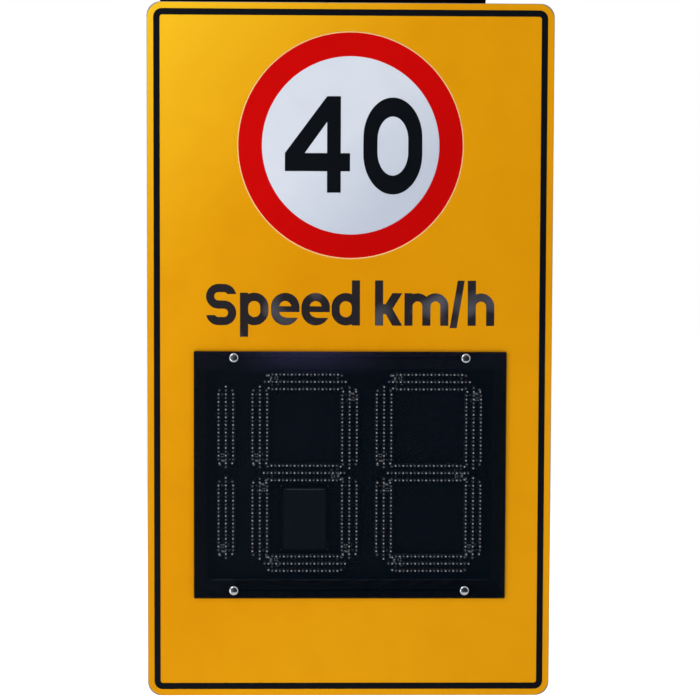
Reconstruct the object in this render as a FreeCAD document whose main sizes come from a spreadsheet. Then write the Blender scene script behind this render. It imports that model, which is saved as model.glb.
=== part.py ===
"""Solar speed sign: a board with an LED speed display, its rear housing, pole clamps and solar panel.

The model frame has its origin on the pole's axis at the middle of the lower clamp, with +Z up and the
sign's face towards -Y. Most pieces are drawn in the board frame, whose origin is the centre of the
board's front, with Y running back from it. The panel and its struts have frames of their own.
"""
import FreeCAD, Part
import math
import operator
import os
import Sketcher

V = FreeCAD.Vector
doc = FreeCAD.newDocument("solar_speed_sign")
sheet = doc.addObject("Spreadsheet::Sheet", "dims")
nodes = {}


# ---------------------------------------------------------------- sizes

class Size:
    """A length that is both a number and the spreadsheet expression that gives it."""

    def __init__(self, value, text):
        self.value = float(value)
        self.text = text

    def __float__(self):
        return self.value

    def __neg__(self):
        return combine(0, "-", self)

    def __add__(self, other):
        return combine(self, "+", other)

    def __radd__(self, other):
        return combine(other, "+", self)

    def __sub__(self, other):
        return combine(self, "-", other)

    def __rsub__(self, other):
        return combine(other, "-", self)

    def __mul__(self, other):
        return combine(self, "*", other)

    def __rmul__(self, other):
        return combine(other, "*", self)

    def __truediv__(self, other):
        return combine(self, "/", other)


OPERATIONS = {"+": operator.add, "-": operator.sub, "*": operator.mul, "/": operator.truediv}


def as_size(value):
    return value if isinstance(value, Size) else Size(value, f"({float(value):.6g})")


def combine(left, sign, right):
    left, right = as_size(left), as_size(right)
    return Size(OPERATIONS[sign](left.value, right.value), f"({left.text} {sign} {right.text})")


class Dimensions:
    """The driving dimensions, one spreadsheet row each, read back as attributes."""

    def __init__(self):
        self.rows = 0

    def add(self, **values):
        for name, value in values.items():
            self.rows += 1
            sheet.set(f"A{self.rows}", name)
            sheet.set(f"B{self.rows}", str(value))
            sheet.setAlias(f"B{self.rows}", name)
            setattr(self, name, Size(value, f"dims.{name}"))


d = Dimensions()
d.add(board_width=700, board_height=1200, board_radius=24, plate_thick=2.5, rim_depth=22)
d.add(film_margin=0.8, film_radius=27, film_thick=0.4, ink_thick=0.3)
d.add(border_inset=11.5, border_width=10.8, border_radius=14.5, border_inner_radius=4.5)
d.add(roundel_height=356, roundel_radius=193, ring_inner=152.7, keyline=2)
d.add(display_height=-212, cutout_width=497, cutout_height=368, cutout_radius=6)
d.add(cover_width=541, cover_height=430, cover_radius=2.5, cover_thick=3, cover_seal=1.6)
d.add(cover_screw_across=401, cover_screw_up=405, cover_screw_radius=3, dome_radius=8.1, dome_rise=4.2)
d.add(box_width=560, box_height=448, box_rear=70, box_wall=2, flange_reach=18, flange_seal=1.5)
d.add(stud_radius=2.5, screw_gap=0.2)
d.add(plate_front=26.2, panel_sheet=2, display_width=524, display_tall=404, pillar_radius=4)
d.add(digit_width=156, digit_rise=159, digit_lift=1, tens_left=-156, units_left=60, hundreds_line=-215)
d.add(segment_length=148, segment_width=33, segment_end=6, segment_taper=11.5, board_thick=1.6)
d.add(led_pitch=6.68, led_rows=12.7, led_tuck=1.5, led_shift=0.8, led_radius=2.3, led_length=8.6)
d.add(radome_width=74.4, radome_tall=105.6, radome_front=6, radome_radius=5.5, radome_wall=2.2)
d.add(battery_width=213, battery_tall=132, battery_deep=34, battery_line=-143, battery_height=-124)
d.add(door_line=152, door_width=210, door_tall=400, door_inner=74, door_thick=2, door_rim=3)
d.add(opening_width=180, opening_tall=370, opening_radius=8, door_seal=3.5, door_seal_width=11.5)
d.add(door_axis=262, door_axis_depth=74.6, knuckle_radius=4.2, door_pin=2, hinge_height=130, hinge_half=30)
d.add(lock_line=76, lock_height=-235, spindle_radius=5, cam_reach=26, cam_width=12, running_gap=0.06)
d.add(rail_size=41, rail_wall=2.5, rail_slot=22, rail_lip=7, rail_length=600)
d.add(top_rail=500, mid_rail=200, low_rail=-515)
d.add(pole_radius=38.1, pole_reach=126, clamp_wall=5, clamp_tall=50, clamp_gap=3, clamp_ear=70, clamp_bolt=58)
d.add(post_size=30, post_wall=2.5, post_line=170, post_foot=180, post_top=603)
d.add(tilt_height=590, tilt_rest=45, brace_reach=260, tilt_bolt=5, strut_bolt=4)
d.add(panel_width=564, panel_length=668, panel_offset=-48, panel_deep=25, panel_under=22, panel_start=-5)
d.add(frame_wall=1.8, frame_flange=20, frame_lip=8, frame_shelf=10)
d.add(laminate=3.7, glass_thick=3, cell_thick=0.2)
d.add(web_line=186, web_thick=3, web_drop=13, web_flange=28)
d.add(strut_thick=4, strut_width=24, strut_length=284, strut_play=0.3, clamp_reach=254)
d.add(slot_start=146, slot_end=266, slot_half=4.3)
sheet.recompute()


# ---------------------------------------------------------------- frames

class Frame:
    """Where a piece's own drawing frame lies in the model frame."""

    def __init__(self, x, y, z, axis=V(1, 0, 0), angle=0):
        self.base = (as_size(x), as_size(y), as_size(z))
        self.rotation = FreeCAD.Rotation(axis, float(angle))

    def point(self, x, y, z):
        base = V(*[float(value) for value in self.base])
        return base + self.rotation.multVec(V(float(x), float(y), float(z)))


board = Frame(0, -d.pole_reach, -d.low_rail)
post_centre = d.plate_thick + d.rail_size + d.post_size / 2
tilt_base = (0, post_centre - d.pole_reach, d.tilt_height - d.low_rail)
panel = Frame(*tilt_base, angle=d.tilt_rest)
brace_angle = 45 + float(d.tilt_rest) / 2
low_pivot = board.point(0, post_centre, d.tilt_height - d.brace_reach)
high_pivot = panel.point(0, d.brace_reach, 0)
low_strut = Frame(*low_pivot, angle=brace_angle)
high_strut = Frame(*high_pivot, angle=brace_angle + 180)


# ---------------------------------------------------------------- drawing helpers

def bind(thing, prop, size):
    thing.setExpression(prop, as_size(size).text)


def node(name, thing, frame=board):
    """Names a finished piece, places it and lists it for export."""
    thing.Label = name
    thing.Placement = FreeCAD.Placement(V(0, 0, 0), frame.rotation)
    for axis, size in zip("xyz", frame.base):
        bind(thing, f"Placement.Base.{axis}", size)
    nodes[name] = thing
    return thing


def hold_point(sketch, geometry, position, point):
    """Fixes a sketch point at its distances from the sketch's origin."""
    for kind, size in zip(("DistanceX", "DistanceY"), map(as_size, point)):
        rule = Sketcher.Constraint(kind, -1, 1, geometry, position, size.value)
        index = sketch.addConstraint(rule)
        sketch.setExpression(f"Constraints[{index}]", size.text)


def hold_radius(sketch, geometry, radius):
    index = sketch.addConstraint(Sketcher.Constraint("Radius", geometry, radius.value))
    sketch.setExpression(f"Constraints[{index}]", radius.text)


def polygon(points):
    """A closed outline of straight edges."""
    def draw(sketch):
        corners = [V(float(a), float(b), 0) for a, b in points]
        first = sketch.GeometryCount
        for start, end in zip(corners, corners[1:] + corners[:1]):
            sketch.addGeometry(Part.LineSegment(start, end), False)
        for place, point in enumerate(points):
            following = first + (place + 1) % len(points)
            sketch.addConstraint(Sketcher.Constraint("Coincident", first + place, 2, following, 1))
            hold_point(sketch, first + place, 1, point)
    return draw


def rectangle(across, up):
    """A rectangle from its (start, end) pairs on the sketch's two axes."""
    return polygon([(across[0], up[0]), (across[1], up[0]), (across[1], up[1]), (across[0], up[1])])


def circle(centre, radius):
    def draw(sketch):
        size = as_size(radius)
        middle = V(float(centre[0]), float(centre[1]), 0)
        geometry = sketch.addGeometry(Part.Circle(middle, V(0, 0, 1), size.value), False)
        hold_point(sketch, geometry, 3, centre)
        hold_radius(sketch, geometry, size)
    return draw


def rounded(centre, width, height, radius):
    """A rectangle with round corners: four arcs joined by four tangent lines."""
    def draw(sketch):
        size = as_size(radius)
        half_width = as_size(width) / 2 - size
        half_height = as_size(height) / 2 - size
        turns = ((1, 1), (-1, 1), (-1, -1), (1, -1))
        middles = [(centre[0] + half_width * a, centre[1] + half_height * b) for a, b in turns]
        arcs = []
        for quarter, middle in enumerate(middles):
            ring = Part.Circle(V(float(middle[0]), float(middle[1]), 0), V(0, 0, 1), size.value)
            start = quarter * math.pi / 2
            arcs.append(sketch.addGeometry(Part.ArcOfCircle(ring, start, start + math.pi / 2), False))
        for place, arc in enumerate(arcs):
            following = arcs[(place + 1) % 4]
            start = sketch.getPoint(arc, 2)
            end = sketch.getPoint(following, 1)
            side = sketch.addGeometry(Part.LineSegment(start, end), False)
            sketch.addConstraint(Sketcher.Constraint("Tangent", arc, 2, side, 1))
            sketch.addConstraint(Sketcher.Constraint("Tangent", side, 2, following, 1))
        for arc, middle in zip(arcs, middles):
            hold_point(sketch, arc, 3, middle)
            hold_radius(sketch, arc, size)
    return draw


def stadium(start, end, half_width):
    """A slot outline along the sketch's first axis: two half circles joined by tangent lines."""
    def draw(sketch):
        size = as_size(half_width)
        ends = []
        for middle, turn in ((end, -math.pi / 2), (start, math.pi / 2)):
            ring = Part.Circle(V(float(middle), 0, 0), V(0, 0, 1), size.value)
            ends.append(sketch.addGeometry(Part.ArcOfCircle(ring, turn, turn + math.pi), False))
        for arc, following in (ends, ends[::-1]):
            side = Part.LineSegment(sketch.getPoint(arc, 2), sketch.getPoint(following, 1))
            line = sketch.addGeometry(side, False)
            sketch.addConstraint(Sketcher.Constraint("Tangent", arc, 2, line, 1))
            sketch.addConstraint(Sketcher.Constraint("Tangent", line, 2, following, 1))
        for arc, middle in zip(ends, (end, start)):
            hold_point(sketch, arc, 3, (middle, 0))
        hold_radius(sketch, ends[0], size)
    return draw


def new_body():
    return doc.addObject("PartDesign::Body", "body")


def pad(body, plane, loops, start, depth):
    """Pads outlines on one of the body's origin planes, from start, along that plane's own axis."""
    sketch = body.newObject("Sketcher::SketchObject", "sketch")
    role = f"{plane}_Plane"
    support = [feature for feature in body.Origin.OriginFeatures if feature.Role == role][0]
    sketch.AttachmentSupport = [(support, "")]
    sketch.MapMode = "FlatFace"
    faces_back = plane == "XZ"
    bind(sketch, "AttachmentOffset.Base.z", -as_size(start) if faces_back else as_size(start))
    for draw in loops:
        draw(sketch)
    feature = body.newObject("PartDesign::Pad", "pad")
    feature.Profile = sketch
    feature.Reversed = faces_back
    bind(feature, "Length", depth)
    return body


def plate(loops, start, depth, plane="XZ"):
    return pad(new_body(), plane, loops, start, depth)


def box(x, y, z):
    """A block from its (start, end) pairs on the three axes."""
    solid = doc.addObject("Part::Box", "box")
    spans = zip(("Length", "Width", "Height"), "xyz", (x, y, z))
    for prop, axis, (start, end) in spans:
        bind(solid, prop, as_size(end) - start)
        bind(solid, f"Placement.Base.{axis}", start)
    return solid


TURNS = {
    "x": FreeCAD.Rotation(V(0, 1, 0), 90),
    "y": FreeCAD.Rotation(V(1, 0, 0), -90),
    "z": FreeCAD.Rotation(),
}


def along(solid, axis, centre, span):
    """Lays a turned solid along an axis: centre is its place on the other two, span its start and end."""
    solid.Placement = FreeCAD.Placement(V(0, 0, 0), TURNS[axis])
    bind(solid, "Height", as_size(span[1]) - span[0])
    others = [name for name in "xyz" if name != axis]
    bind(solid, f"Placement.Base.{axis}", span[0])
    for name, size in zip(others, centre):
        bind(solid, f"Placement.Base.{name}", size)
    return solid


def about(middle, half):
    """The span that reaches half each way from the middle."""
    return (middle - half, middle + half)


def rod(axis, centre, span, radius):
    solid = doc.addObject("Part::Cylinder", "rod")
    bind(solid, "Radius", radius)
    return along(solid, axis, centre, span)


def hexagon(axis, centre, span, radius):
    solid = doc.addObject("Part::Prism", "hexagon")
    solid.Polygon = 6
    bind(solid, "Circumradius", radius)
    return along(solid, axis, centre, span)


def cone(axis, centre, span, start_radius, end_radius):
    solid = doc.addObject("Part::Cone", "cone")
    bind(solid, "Radius1", start_radius)
    bind(solid, "Radius2", end_radius)
    return along(solid, axis, centre, span)


def ball(x, y, z, radius):
    solid = doc.addObject("Part::Sphere", "ball")
    bind(solid, "Radius", radius)
    for axis, size in zip("xyz", (x, y, z)):
        bind(solid, f"Placement.Base.{axis}", size)
    return solid


def fuse(*solids):
    joined = doc.addObject("Part::MultiFuse", "fuse")
    joined.Shapes = list(solids)
    return joined


def cut(base, *tools):
    result = doc.addObject("Part::Cut", "cut")
    result.Base = base
    result.Tool = tools[0] if len(tools) == 1 else fuse(*tools)
    return result


def common(first, second):
    result = doc.addObject("Part::MultiCommon", "common")
    result.Shapes = [first, second]
    return result


def group(*solids):
    """Separate solids in one piece, such as a set of screws."""
    together = doc.addObject("Part::Compound", "group")
    together.Links = list(solids)
    return together


def mirrored(solid):
    """The same piece on the other side of the sign's middle plane."""
    twin = doc.addObject("Part::Mirroring", "mirrored")
    twin.Source = solid
    twin.Normal = V(1, 0, 0)
    return twin


def both_sides(solid):
    return group(solid, mirrored(solid))


def copies(solid, places):
    """Copies of one solid, each moved or turned by a placement, as separate solids."""
    doc.recompute()
    shapes = []
    for place in places:
        shape = solid.Shape.copy()
        shape.transformShape(place.toMatrix(), True)
        shapes.append(shape)
    repeated = doc.addObject("Part::Feature", "copies")
    repeated.Shape = Part.makeCompound(shapes)
    return repeated


def moved(x, y, z, axis=V(0, 1, 0), angle=0):
    return FreeCAD.Placement(V(float(x), float(y), float(z)), FreeCAD.Rotation(axis, angle))


def four_corners(half_across, half_up):
    """The four (across, up) pairs about a middle point."""
    return [(half_across * a, half_up * b) for a in (-1, 1) for b in (-1, 1)]


# ---------------------------------------------------------------- sign board and its films

display = (as_size(0), d.display_height)
film_front = -d.film_thick
cover_back = film_front - d.cover_seal
cover_front = cover_back - d.cover_thick
cover_screws = [(x, d.display_height + z) for x, z in
                four_corners(d.cover_screw_across / 2, d.cover_screw_up / 2)]
cutout = rounded(display, d.cutout_width, d.cutout_height, d.cutout_radius)


def screw_holes(places, radius):
    return [circle(place, radius) for place in places]


def make_face_plate():
    """The aluminium board: a flat plate with the display's opening and a rim folded back all round."""
    middle = (as_size(0), as_size(0))
    outline = rounded(middle, d.board_width, d.board_height, d.board_radius)
    holes = screw_holes(cover_screws, d.cover_screw_radius + d.screw_gap)
    body = plate([outline, cutout] + holes, 0, d.plate_thick)
    inner_width = d.board_width - d.plate_thick * 2
    inner_height = d.board_height - d.plate_thick * 2
    inner = rounded(middle, inner_width, inner_height, d.board_radius - d.plate_thick)
    pad(body, "XZ", [outline, inner], d.plate_thick, d.rim_depth - d.plate_thick)
    node("face_plate", body)


def make_films():
    """The coloured sheeting, the border line and the roundel's disc and ring."""
    middle = (as_size(0), as_size(0))
    sheet_width = d.board_width - d.film_margin * 2
    sheet_height = d.board_height - d.film_margin * 2
    outline = rounded(middle, sheet_width, sheet_height, d.film_radius)
    holes = screw_holes(cover_screws, d.cover_screw_radius + d.screw_gap)
    node("face_sheeting", plate([outline, cutout] + holes, film_front, d.film_thick))

    line_width = d.board_width - d.border_inset * 2
    line_height = d.board_height - d.border_inset * 2
    outer = rounded(middle, line_width, line_height, d.border_radius)
    inside = (line_width - d.border_width * 2, line_height - d.border_width * 2)
    inner = rounded(middle, *inside, d.border_inner_radius)
    ink_front = film_front - d.ink_thick
    node("border_line", plate([outer, inner], ink_front, d.ink_thick))

    centre = (as_size(0), d.roundel_height)
    disc = circle(centre, d.roundel_radius + d.keyline)
    node("roundel_disc", plate([disc], ink_front, d.ink_thick))
    ring = [circle(centre, d.roundel_radius), circle(centre, d.ring_inner)]
    node("roundel_ring", plate(ring, ink_front - d.ink_thick, d.ink_thick))


# ---------------------------------------------------------------- numerals and legend

def flat(outer, *inner):
    """A thin solid of ink inside a closed wire, with holes."""
    depth = V(0, float(d.ink_thick), 0)
    solid = Part.Face(outer).extrude(depth)
    for hole in inner:
        solid = solid.cut(Part.Face(hole).extrude(depth))
    return solid


def corner_wire(points):
    corners = [V(x, 0, z) for x, z in points]
    return Part.makePolygon(corners + corners[:1])


def oval_wire(x, z, width, height):
    """An oval of two round ends joined by two straight sides, along its longer way."""
    radius = min(width, height) / 2
    run_x, run_z = width / 2 - radius, height / 2 - radius
    if run_x > 0:
        starts, bulge = ((run_x, -radius), (run_x, radius)), V(run_x + radius, 0, 0)
    else:
        starts, bulge = ((radius, run_z), (-radius, run_z)), V(0, 0, run_z + radius)
    first, second = [V(a, 0, b) for a, b in starts]
    middle = V(x, 0, z)
    ends = [(middle + first, middle + second), (middle - first, middle - second)]
    arcs = [Part.Arc(start, middle + bulge * sign, end).toShape()
            for (start, end), sign in zip(ends, (1, -1))]
    sides = [Part.makeLine(ends[0][1], ends[1][0]), Part.makeLine(ends[1][1], ends[0][0])]
    return Part.Wire([arcs[0], sides[0], arcs[1], sides[1]])


def tall_oval(x, z, width, height, straight):
    """An oval with upright sides of the given length and half an ellipse at each end."""
    edges = []
    for sign in (1, -1):
        centre = V(x, 0, z + sign * straight / 2)
        tip, side = V(0, 0, sign * (height - straight) / 2), V(width / 2, 0, 0)
        end = Part.Ellipse(centre + tip, centre + side, centre)
        edges.append(Part.ArcOfEllipse(end, -math.pi / 2, math.pi / 2).toShape())
        low, high = [V(x + sign * width / 2, 0, z + half) for half in (-straight / 2, straight / 2)]
        edges.append(Part.makeLine(low, high))
    return Part.Wire(Part.__sortEdges__(edges))


def bar(x, z, width, height):
    """An upright rectangle, from its lower left corner."""
    return flat(corner_wire([(x, z), (x + width, z), (x + width, z + height), (x, z + height)]))


def slant(bottom, top, width, z, height):
    """A leaning stroke whose foot and head start at the given places."""
    return flat(corner_wire([(bottom, z), (bottom + width, z), (top + width, z + height), (top, z + height)]))


def oval_ring(x, z, width, height, pen):
    return flat(oval_wire(x, z, width, height), oval_wire(x, z, width - 2 * pen, height - 2 * pen))


def ink(name, solids, front):
    """Places thin printed solids with their front on the given plane of the board."""
    printed = doc.addObject("Part::Feature", "ink")
    printed.Shape = Part.makeCompound(solids)
    node(name, printed, Frame(0, front - d.pole_reach, -d.low_rail))


def joined(*strokes):
    """One solid from strokes that overlap."""
    return strokes[0].multiFuse(list(strokes[1:])).removeSplitter()


def make_numerals():
    """The speed limit in the roundel: a 4 with a triangular eye and an oval 0."""
    base, tall = 275.2, 165
    left, right = -113, -1
    stem_left, stem_right = -40.5, -17
    bar_top, bar_bottom = base + 67.7, base + 36.7
    four = flat(corner_wire([
        (stem_left, base), (stem_right, base), (stem_right, bar_bottom), (right, bar_bottom),
        (right, bar_top), (stem_right, bar_top), (stem_right, base + tall), (stem_left, base + tall),
        (left, bar_top), (left, bar_bottom), (stem_left, bar_bottom)]))
    eye = flat(corner_wire([(stem_left, bar_top), (stem_left, base + 121.2), (-79, bar_top)]))
    line, half_way = 72.6, 355.5
    nought = flat(tall_oval(line, half_way, 101.4, 166, 27), tall_oval(line, half_way, 53, 101.2, 21))
    front = film_front - d.ink_thick * 2
    ink("roundel_numerals", [four.cut(eye), nought], front)


def make_legend():
    """The words under the roundel, in plain round strokes of one pen width."""
    pen, base = 14, 46.5
    low, cap, rise, fall = 56, 71, 78, 20
    round_width = 49
    middle = base + low / 2

    def small_ring(x):
        return oval_ring(x + round_width / 2, middle, round_width, low, pen)

    def letter_s(x):
        width, bowl = 52, (cap + pen) / 2
        upper = oval_ring(x + width / 2, base + cap - bowl / 2, width, bowl, pen)
        lower = oval_ring(x + width / 2, base + bowl / 2, width, bowl, pen)
        half = x + width / 2
        upper = upper.cut(bar(half, base + cap / 2 - pen, width, pen * 2.3))
        lower = lower.cut(bar(half - width, base + cap / 2 - pen * 1.3, width, pen * 2.3))
        spine = slant(half - 4, half - 4, 8, base + (cap - pen) / 2, pen)
        return joined(upper, lower, spine)

    def letter_e(x):
        ring = small_ring(x).cut(bar(x + round_width / 2, base + 13, round_width, 10))
        return joined(ring, bar(x + pen - 3, middle - 5, round_width - 2 * pen + 6, 10))

    def letter_p(x):
        return joined(small_ring(x), bar(x, base - fall, pen, fall + low))

    def letter_d(x):
        return joined(small_ring(x), bar(x + round_width - pen, base, pen, rise))

    def arch(x, width):
        ring = oval_ring(x + width / 2, middle, width, low, pen)
        top = ring.common(bar(x, middle, width, low))
        return joined(top, bar(x + width - pen, base, pen, low / 2 + 1))

    def letter_h(x):
        return joined(arch(x, 46), bar(x, base, pen, rise))

    def letter_m(x):
        return joined(arch(x, 45), arch(x + 45 - pen, 45), bar(x, base, pen, low))

    def letter_k(x):
        arm = slant(x + 8, x + 30, 17, base + 20, low - 20)
        leg = slant(x + 30, x + 9, 17, base, low - 19)
        return joined(bar(x, base, pen, rise), arm, leg)

    letters = [
        letter_s(-248.5), letter_p(-190), letter_e(-136.5), letter_e(-84), letter_d(-32),
        letter_k(43), letter_m(94), slant(172.5, 186, 12, base - 4, rise + 4), letter_h(203.5)]
    ink("legend_letters", letters, film_front - d.ink_thick)


# ---------------------------------------------------------------- display window

def make_window():
    """The dark clear cover with its seal, dome-headed screws and their nuts."""
    reach = d.cover_screw_radius + d.screw_gap
    holes = screw_holes(cover_screws, reach)
    middle = (as_size(0.9), d.display_height - 1.6)
    outline = rounded(middle, d.cover_width, d.cover_height, d.cover_radius)
    node("window_cover", plate([outline] + holes, cover_front, d.cover_thick))
    inset = 0.3
    seal_outer = rounded(middle, d.cover_width - inset * 2, d.cover_height - inset * 2, d.cover_radius)
    overhang = 1.2
    seal_inner = rounded(display, d.cutout_width - overhang, d.cutout_height - overhang, d.cutout_radius)
    node("window_gasket", plate([seal_outer, seal_inner] + holes, cover_back, d.cover_seal))

    curve = (d.dome_radius * d.dome_radius + d.dome_rise * d.dome_rise) / (d.dome_rise * 2)
    head = common(ball(0, cover_front - d.dome_rise + curve, 0, curve),
                  rod("y", (0, 0), (cover_front - d.dome_rise - 1, cover_front), d.dome_radius))
    shank = rod("y", (0, 0), (cover_front - 1, d.plate_thick + 9), d.cover_screw_radius)
    screw = fuse(head, shank)
    nut_front = d.plate_thick + 1.2
    washer = rod("y", (0, 0), (d.plate_thick, nut_front), 6)
    nut = fuse(washer, hexagon("y", (0, 0), (nut_front, nut_front + 5), 5.8))
    nut = cut(nut, rod("y", (0, 0), (0, 20), d.cover_screw_radius))
    places = [moved(x, 0, z) for x, z in cover_screws]
    node("window_fasteners", copies(group(screw, nut), places))


# ---------------------------------------------------------------- rear housing

flange_front = d.plate_thick + d.flange_seal
flange_back = flange_front + d.box_wall
box_back = d.box_rear - d.box_wall
box_floor = d.display_height - d.box_height / 2
service_depth = 48
glands = (60, 104)
vent_line, switch_line = -60, 160
hinge_places = (d.display_height - d.hinge_height, d.display_height + d.hinge_height)


def flange_studs():
    side = d.box_width / 2 + d.flange_reach / 2
    top = d.box_height / 2 + d.flange_reach / 2
    upright = [(side * sign, d.display_height + step) for sign in (-1, 1) for step in (-150, 0, 150)]
    level = [(as_size(step), d.display_height + top * sign) for sign in (-1, 1) for step in (-190, 0, 190)]
    return upright + level


def make_housing():
    """The sheet-metal box behind the board: walls with a flange, seal, back with two openings."""
    studs = flange_studs()
    stud_holes = screw_holes(studs, d.stud_radius + d.screw_gap)
    outer = rounded(display, d.box_width, d.box_height, 4)
    inner = rounded(display, d.box_width - d.box_wall * 2, d.box_height - d.box_wall * 2, 2)
    flange = rounded(display, d.box_width + d.flange_reach * 2, d.box_height + d.flange_reach * 2, 6)
    node("housing_gasket", plate([flange, outer] + stud_holes, d.plate_thick, d.flange_seal))

    walls = plate([flange, inner] + stud_holes, flange_front, d.box_wall)
    pad(walls, "XZ", [outer, inner], flange_back, box_back - flange_back)
    floor = about(box_floor, 5)
    ports = [rod("z", (x, service_depth), floor, 8.2) for x in glands]
    ports.append(rod("z", (vent_line, service_depth), floor, 6.2))
    ports.append(box(about(switch_line, 11.2), about(service_depth, 7.2), floor))
    node("housing_sides", cut(walls, *ports))

    openings = [rounded((d.door_line * sign, d.display_height), d.opening_width, d.opening_tall,
                        d.opening_radius) for sign in (-1, 1)]
    back = plate([outer] + openings, box_back, d.box_wall)
    knuckles, bores = [], []
    for sign in (-1, 1):
        middle = d.door_axis * sign
        for height in hinge_places:
            for start, end in ((10.15, d.hinge_half), (-d.hinge_half, as_size(-10.15))):
                span = (height + start, height + end)
                knuckles.append(rod("z", (middle, d.door_axis_depth), span, d.knuckle_radius))
                foot = (middle - d.knuckle_radius, middle + d.knuckle_radius)
                knuckles.append(box(foot, (d.box_rear - 0.5, d.door_axis_depth), span))
            reach = d.hinge_half + 1
            bores.append(rod("z", (middle, d.door_axis_depth), (height - reach, height + reach), d.door_pin))
    node("housing_back", cut(fuse(back, *knuckles), *bores))

    stud = rod("y", (0, 0), (d.plate_thick, flange_back + 9), d.stud_radius)
    nut = fuse(rod("y", (0, 0), (flange_back, flange_back + 1), 5),
               hexagon("y", (0, 0), (flange_back + 1, flange_back + 5), 4.6))
    nut = cut(nut, rod("y", (0, 0), (0, 30), d.stud_radius))
    places = [moved(x, 0, z) for x, z in studs]
    node("housing_fasteners", copies(group(stud, nut), places))


def make_door_seals():
    seals = []
    for sign in (-1, 1):
        middle = (d.door_line * sign, d.display_height)
        across = d.opening_width + d.door_seal_width * 2
        up = d.opening_tall + d.door_seal_width * 2
        outer = rounded(middle, across, up, 10)
        inner = rounded(middle, d.opening_width, d.opening_tall, d.opening_radius)
        seals.append(plate([outer, inner], d.box_rear, d.door_seal))
    node("door_gaskets", group(*seals))


def make_doors():
    """Two service doors, hinged at their outer edges, each a shallow pan with a lock boss."""
    left, right = d.door_line - d.door_width / 2, d.door_line + d.door_width / 2
    back = d.door_inner + d.door_thick
    middle = (d.door_line, d.display_height)
    outer = rounded(middle, d.door_width, d.door_tall, 5)
    inner = rounded(middle, d.door_width - d.door_thick * 2, d.door_tall - d.door_thick * 2, 3)
    pan = plate([outer], d.door_inner, d.door_thick)
    pad(pan, "XZ", [outer, inner], d.door_inner - d.door_rim, d.door_rim)
    boss = rod("y", (d.lock_line, d.lock_height), (box_back, back + 4), 10)
    pieces, bores = [pan, boss], []
    for height in hinge_places:
        span = (height - 9.85, height + 9.85)
        pieces.append(rod("z", (d.door_axis, d.door_axis_depth), span, d.knuckle_radius))
        pieces.append(box((right - 6, d.door_axis), (d.door_inner, back), span))
        bores.append(rod("z", (d.door_axis, d.door_axis_depth), (span[0] - 1, span[1] + 1),
                         d.door_pin + d.running_gap))
    bores.append(rod("y", (d.lock_line, d.lock_height), (box_back - 1, back + 5),
                     d.spindle_radius + d.running_gap))
    door = cut(fuse(*pieces), *bores)
    node("electronics_door", group(door))
    node("battery_door", mirrored(door))

    pins = []
    for height in hinge_places:
        pins.append(rod("z", (d.door_axis, d.door_axis_depth),
                        (height - d.hinge_half, height + d.hinge_half), d.door_pin))
        pins.append(rod("z", (d.door_axis, d.door_axis_depth),
                        (height + d.hinge_half, height + d.hinge_half + 1.5), 3.2))
    node("door_hinge_pins", both_sides(fuse(*pins)))


def make_locks():
    """The quarter-turn locks: a grip, its spindle and the cam arm that catches behind the opening's edge."""
    back = d.door_inner + d.door_thick
    axis = (d.lock_line, d.lock_height)
    cam = (box_back - 2.8, box_back - 0.5)
    spindle = rod("y", axis, (cam[0], back + 6), d.spindle_radius)
    hub = rod("y", axis, cam, 8)
    half = d.cam_width / 2
    arm = box((d.lock_line - half, d.lock_line + half), cam, (d.lock_height - d.cam_reach, d.lock_height))
    disc = rod("y", axis, (back + 4.3, back + 7.5), 11)
    grip = box((d.lock_line - 2.5, d.lock_line + 2.5), (back + 7, back + 15),
               (d.lock_height - 10, d.lock_height + 10))
    lock = fuse(spindle, hub, arm, disc, grip)
    node("electronics_lock", group(lock))
    node("battery_lock", mirrored(lock))


# ---------------------------------------------------------------- display and electronics

segment_up = d.digit_rise / 2
digit_middle = d.display_height + d.digit_lift
board_back = d.plate_front - 8
board_front = board_back - d.board_thick
radar = (d.tens_left + d.digit_width / 2, d.display_height - segment_up)
plate_back = d.plate_front + d.panel_sheet
control = (as_size(132), d.display_height - 105)
charger = (as_size(132), d.display_height + 95)
pillars = [(as_size(x), d.display_height + z) for x, z in four_corners(255, 150) + four_corners(85, 195)]
screw_step, screw_side = 57, 6.35
STANDOFF_HOLE = 1.3


def upright_segments(line, upper_turn, lower_turn):
    """Upright segments above and below the digits' middle, turned up or down from level."""
    return [(line, digit_middle + segment_up, upper_turn), (line, digit_middle - segment_up, lower_turn)]


def digit(left):
    """Seven segments, each turned so that its feed end lies as the wiring needs it."""
    across = left + d.digit_width / 2
    level = [(across, digit_middle + d.digit_rise * step, turn) for step, turn in ((1, 0), (0, 180), (-1, 0))]
    return upright_segments(left, 90, -90) + upright_segments(left + d.digit_width, -90, 90) + level


digits = {
    "hundreds": upright_segments(d.hundreds_line, 90, 90),
    "tens": digit(d.tens_left),
    "units": digit(d.units_left),
}
segments = [segment for name in digits for segment in digits[name]]


def segment_place(segment):
    """A segment is drawn level, its feed end on the left, and turned about its middle."""
    line, height, turn = segment
    return moved(line, 0, height, V(0, 1, 0), -turn)


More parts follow.
